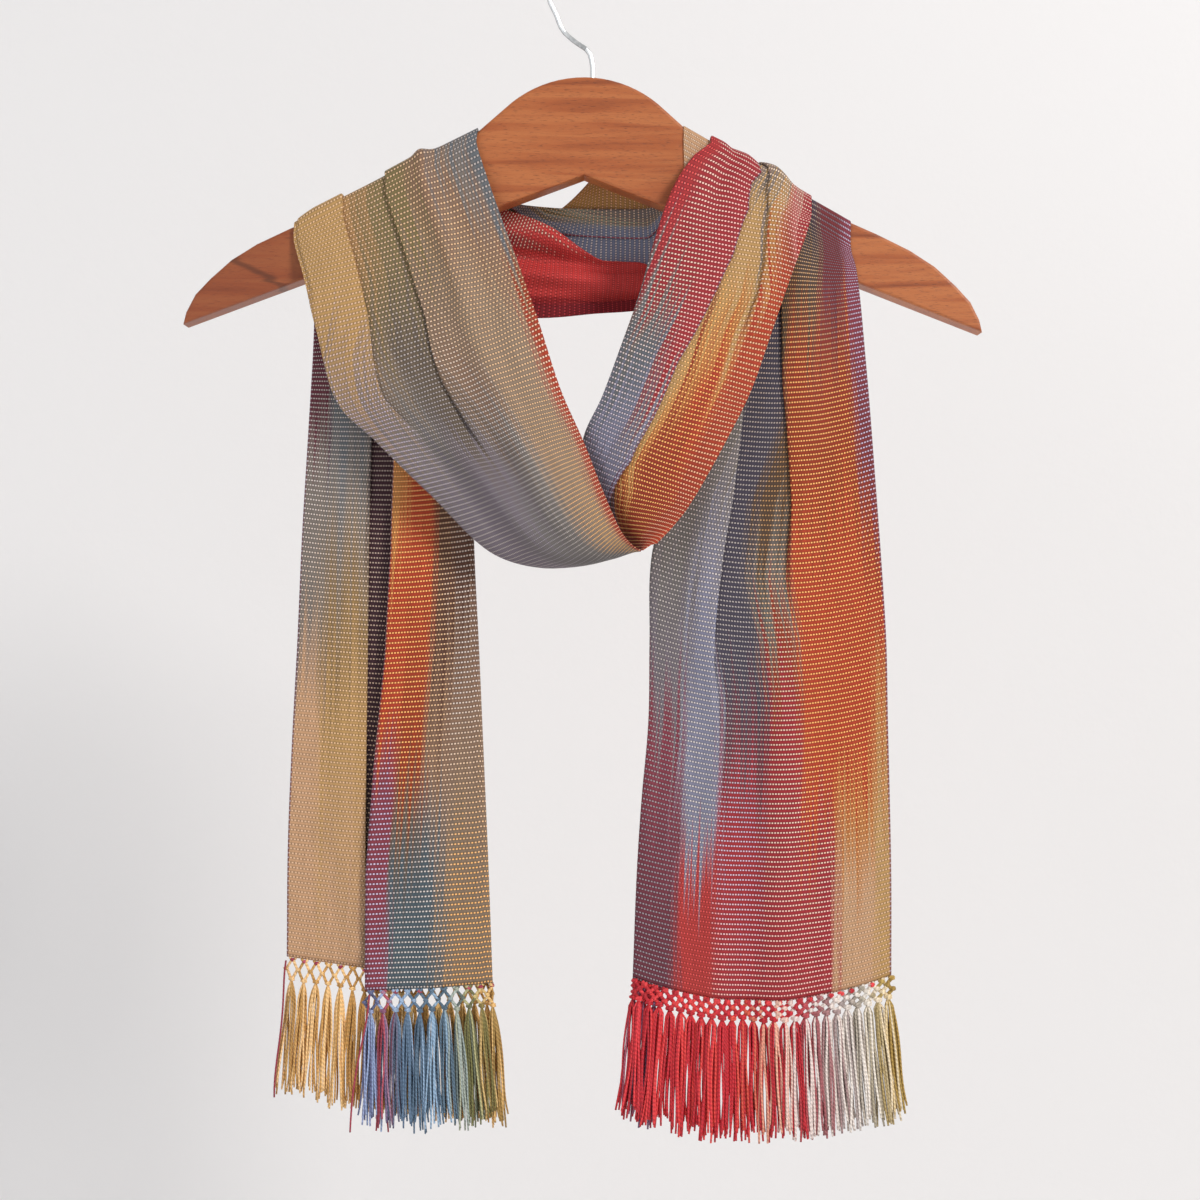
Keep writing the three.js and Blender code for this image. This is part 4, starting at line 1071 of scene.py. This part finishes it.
FRINGE_DYES = {
    "fringe_left": (
        "0 C0965A, 0.02 CC9C5A, 0.3 D29C54, 0.6 C29250, 0.68 7E7A48, 0.75 5E7484, 0.9 667E98, "
        "0.94 A83440, 0.952 6A7094",
        "0 DEB682, 0.4 E6BC78, 0.62 DEB070, 0.7 B0AA78, 0.78 86A0B6, 0.92 92A8C4, 0.94 B03A44, "
        "0.955 8CA0C0, 1 9498BC"),
    "fringe_right": (
        "0 9C2A3E, 0.06 C02A34, 0.45 CE2F39, 0.66 C02C36, 0.74 B0686C, 0.82 AC9C98, 0.9 BAB09E, "
        "0.96 B89C58, 1 B08C44",
        "0 6A5A78, 0.08 8E4A5C, 0.12 D23A40, 0.4 D4443F, 0.5 C0523F, 0.58 DCA48C, 0.66 D6C2BC, "
        "0.9 D8D0C6, 1 D8C090"),
}
for number, (name, tail) in enumerate((("fringe_left", "tail_left"), ("fringe_right", "tail_right"))):
    hem = cloth_pieces[tail][1][-1]
    yarn = fringe_yarn("plied_viscose_" + name, *FRINGE_DYES[name])
    piece = fringe(name, hem, yarn, FRINGE_SEED + number, ODD_STRANDS.get(name, ()))
    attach(piece, "root")
    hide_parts(name)

for name, (stretch, held) in STRETCHES.items():
    piece, points, flat = cloth_pieces[name]

for name, material in (("hanger_board", hanger_wood()), ("hanger_hook", zinc_wire())):
    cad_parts[name].data.materials.clear()
    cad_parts[name].data.materials.append(material)

# ---------- stage and light ----------
WALL_Y, FLOOR_Z = 0.6, -1.6
WALL_HALF, FLOOR_HALF = 3, 6


def plaster(name, one_sided):
    """Painted plaster: matt, nearly white, with a faint unevenness."""
    m = Shader(name)
    place = m.add("TexCoord", output="Object")
    noise = m.add("TexNoise", {"Vector": place, "Scale": 120.0, "Detail": 4.0})
    surface = m.surface(linear("EFEDEC"), 0.9, noise, 0.25, 0.001)
    if one_sided:
        behind = m.add("NewGeometry", output="Backfacing")
        surface = m.add("MixShader", {0: behind, 1: surface, 2: m.add("BsdfTransparent")})
    return m.finished(surface)


def stage_sheet(name, low, high, material):
    """A sheet between two corners: upright if they share y, flat if they share z."""
    (x, y, z), (far_x, far_y, far_z) = low, high
    mesh = bpy.data.meshes.new(name)
    mesh.from_pydata([low, (far_x, y, z), high, (x, far_y, far_z)], [], [(0, 1, 2, 3)])
    mesh.materials.append(material)
    put(name, mesh)


stage_sheet("backdrop", (-WALL_HALF, WALL_Y, FLOOR_Z), (WALL_HALF, WALL_Y, WALL_HALF),
            plaster("wall_plaster", True))
stage_sheet("floor", (-FLOOR_HALF, -FLOOR_HALF, FLOOR_Z), (FLOOR_HALF, FLOOR_HALF, FLOOR_Z),
            plaster("floor_plaster", False))

world = bpy.data.worlds.new("studio")
scene.world = world
world.use_nodes = True
world.node_tree.nodes["Background"].inputs[0].default_value = (0.95, 0.97, 1.0, 1)
world.node_tree.nodes["Background"].inputs[1].default_value = 0.48


def soft_light(name, place, aim, size, power, colour):
    data = bpy.data.lights.new(name, "AREA")
    data.shape = "DISK"
    data.size = size
    data.energy = power
    data.color = colour
    lamp = put(name, data)
    lamp.location = place
    lamp.rotation_euler = (Vector(aim) - Vector(place)).to_track_quat("-Z", "Y").to_euler()


soft_light("window", (2.1, -2.2, 1.3), (0, 0, -0.35), 1.1, 74, (1.0, 0.98, 0.96))
soft_light("fill", (-1.8, -1.8, -0.2), (0, 0, -0.5), 2.0, 13, (0.95, 0.97, 1.0))
scene.view_settings.view_transform = "Standard"
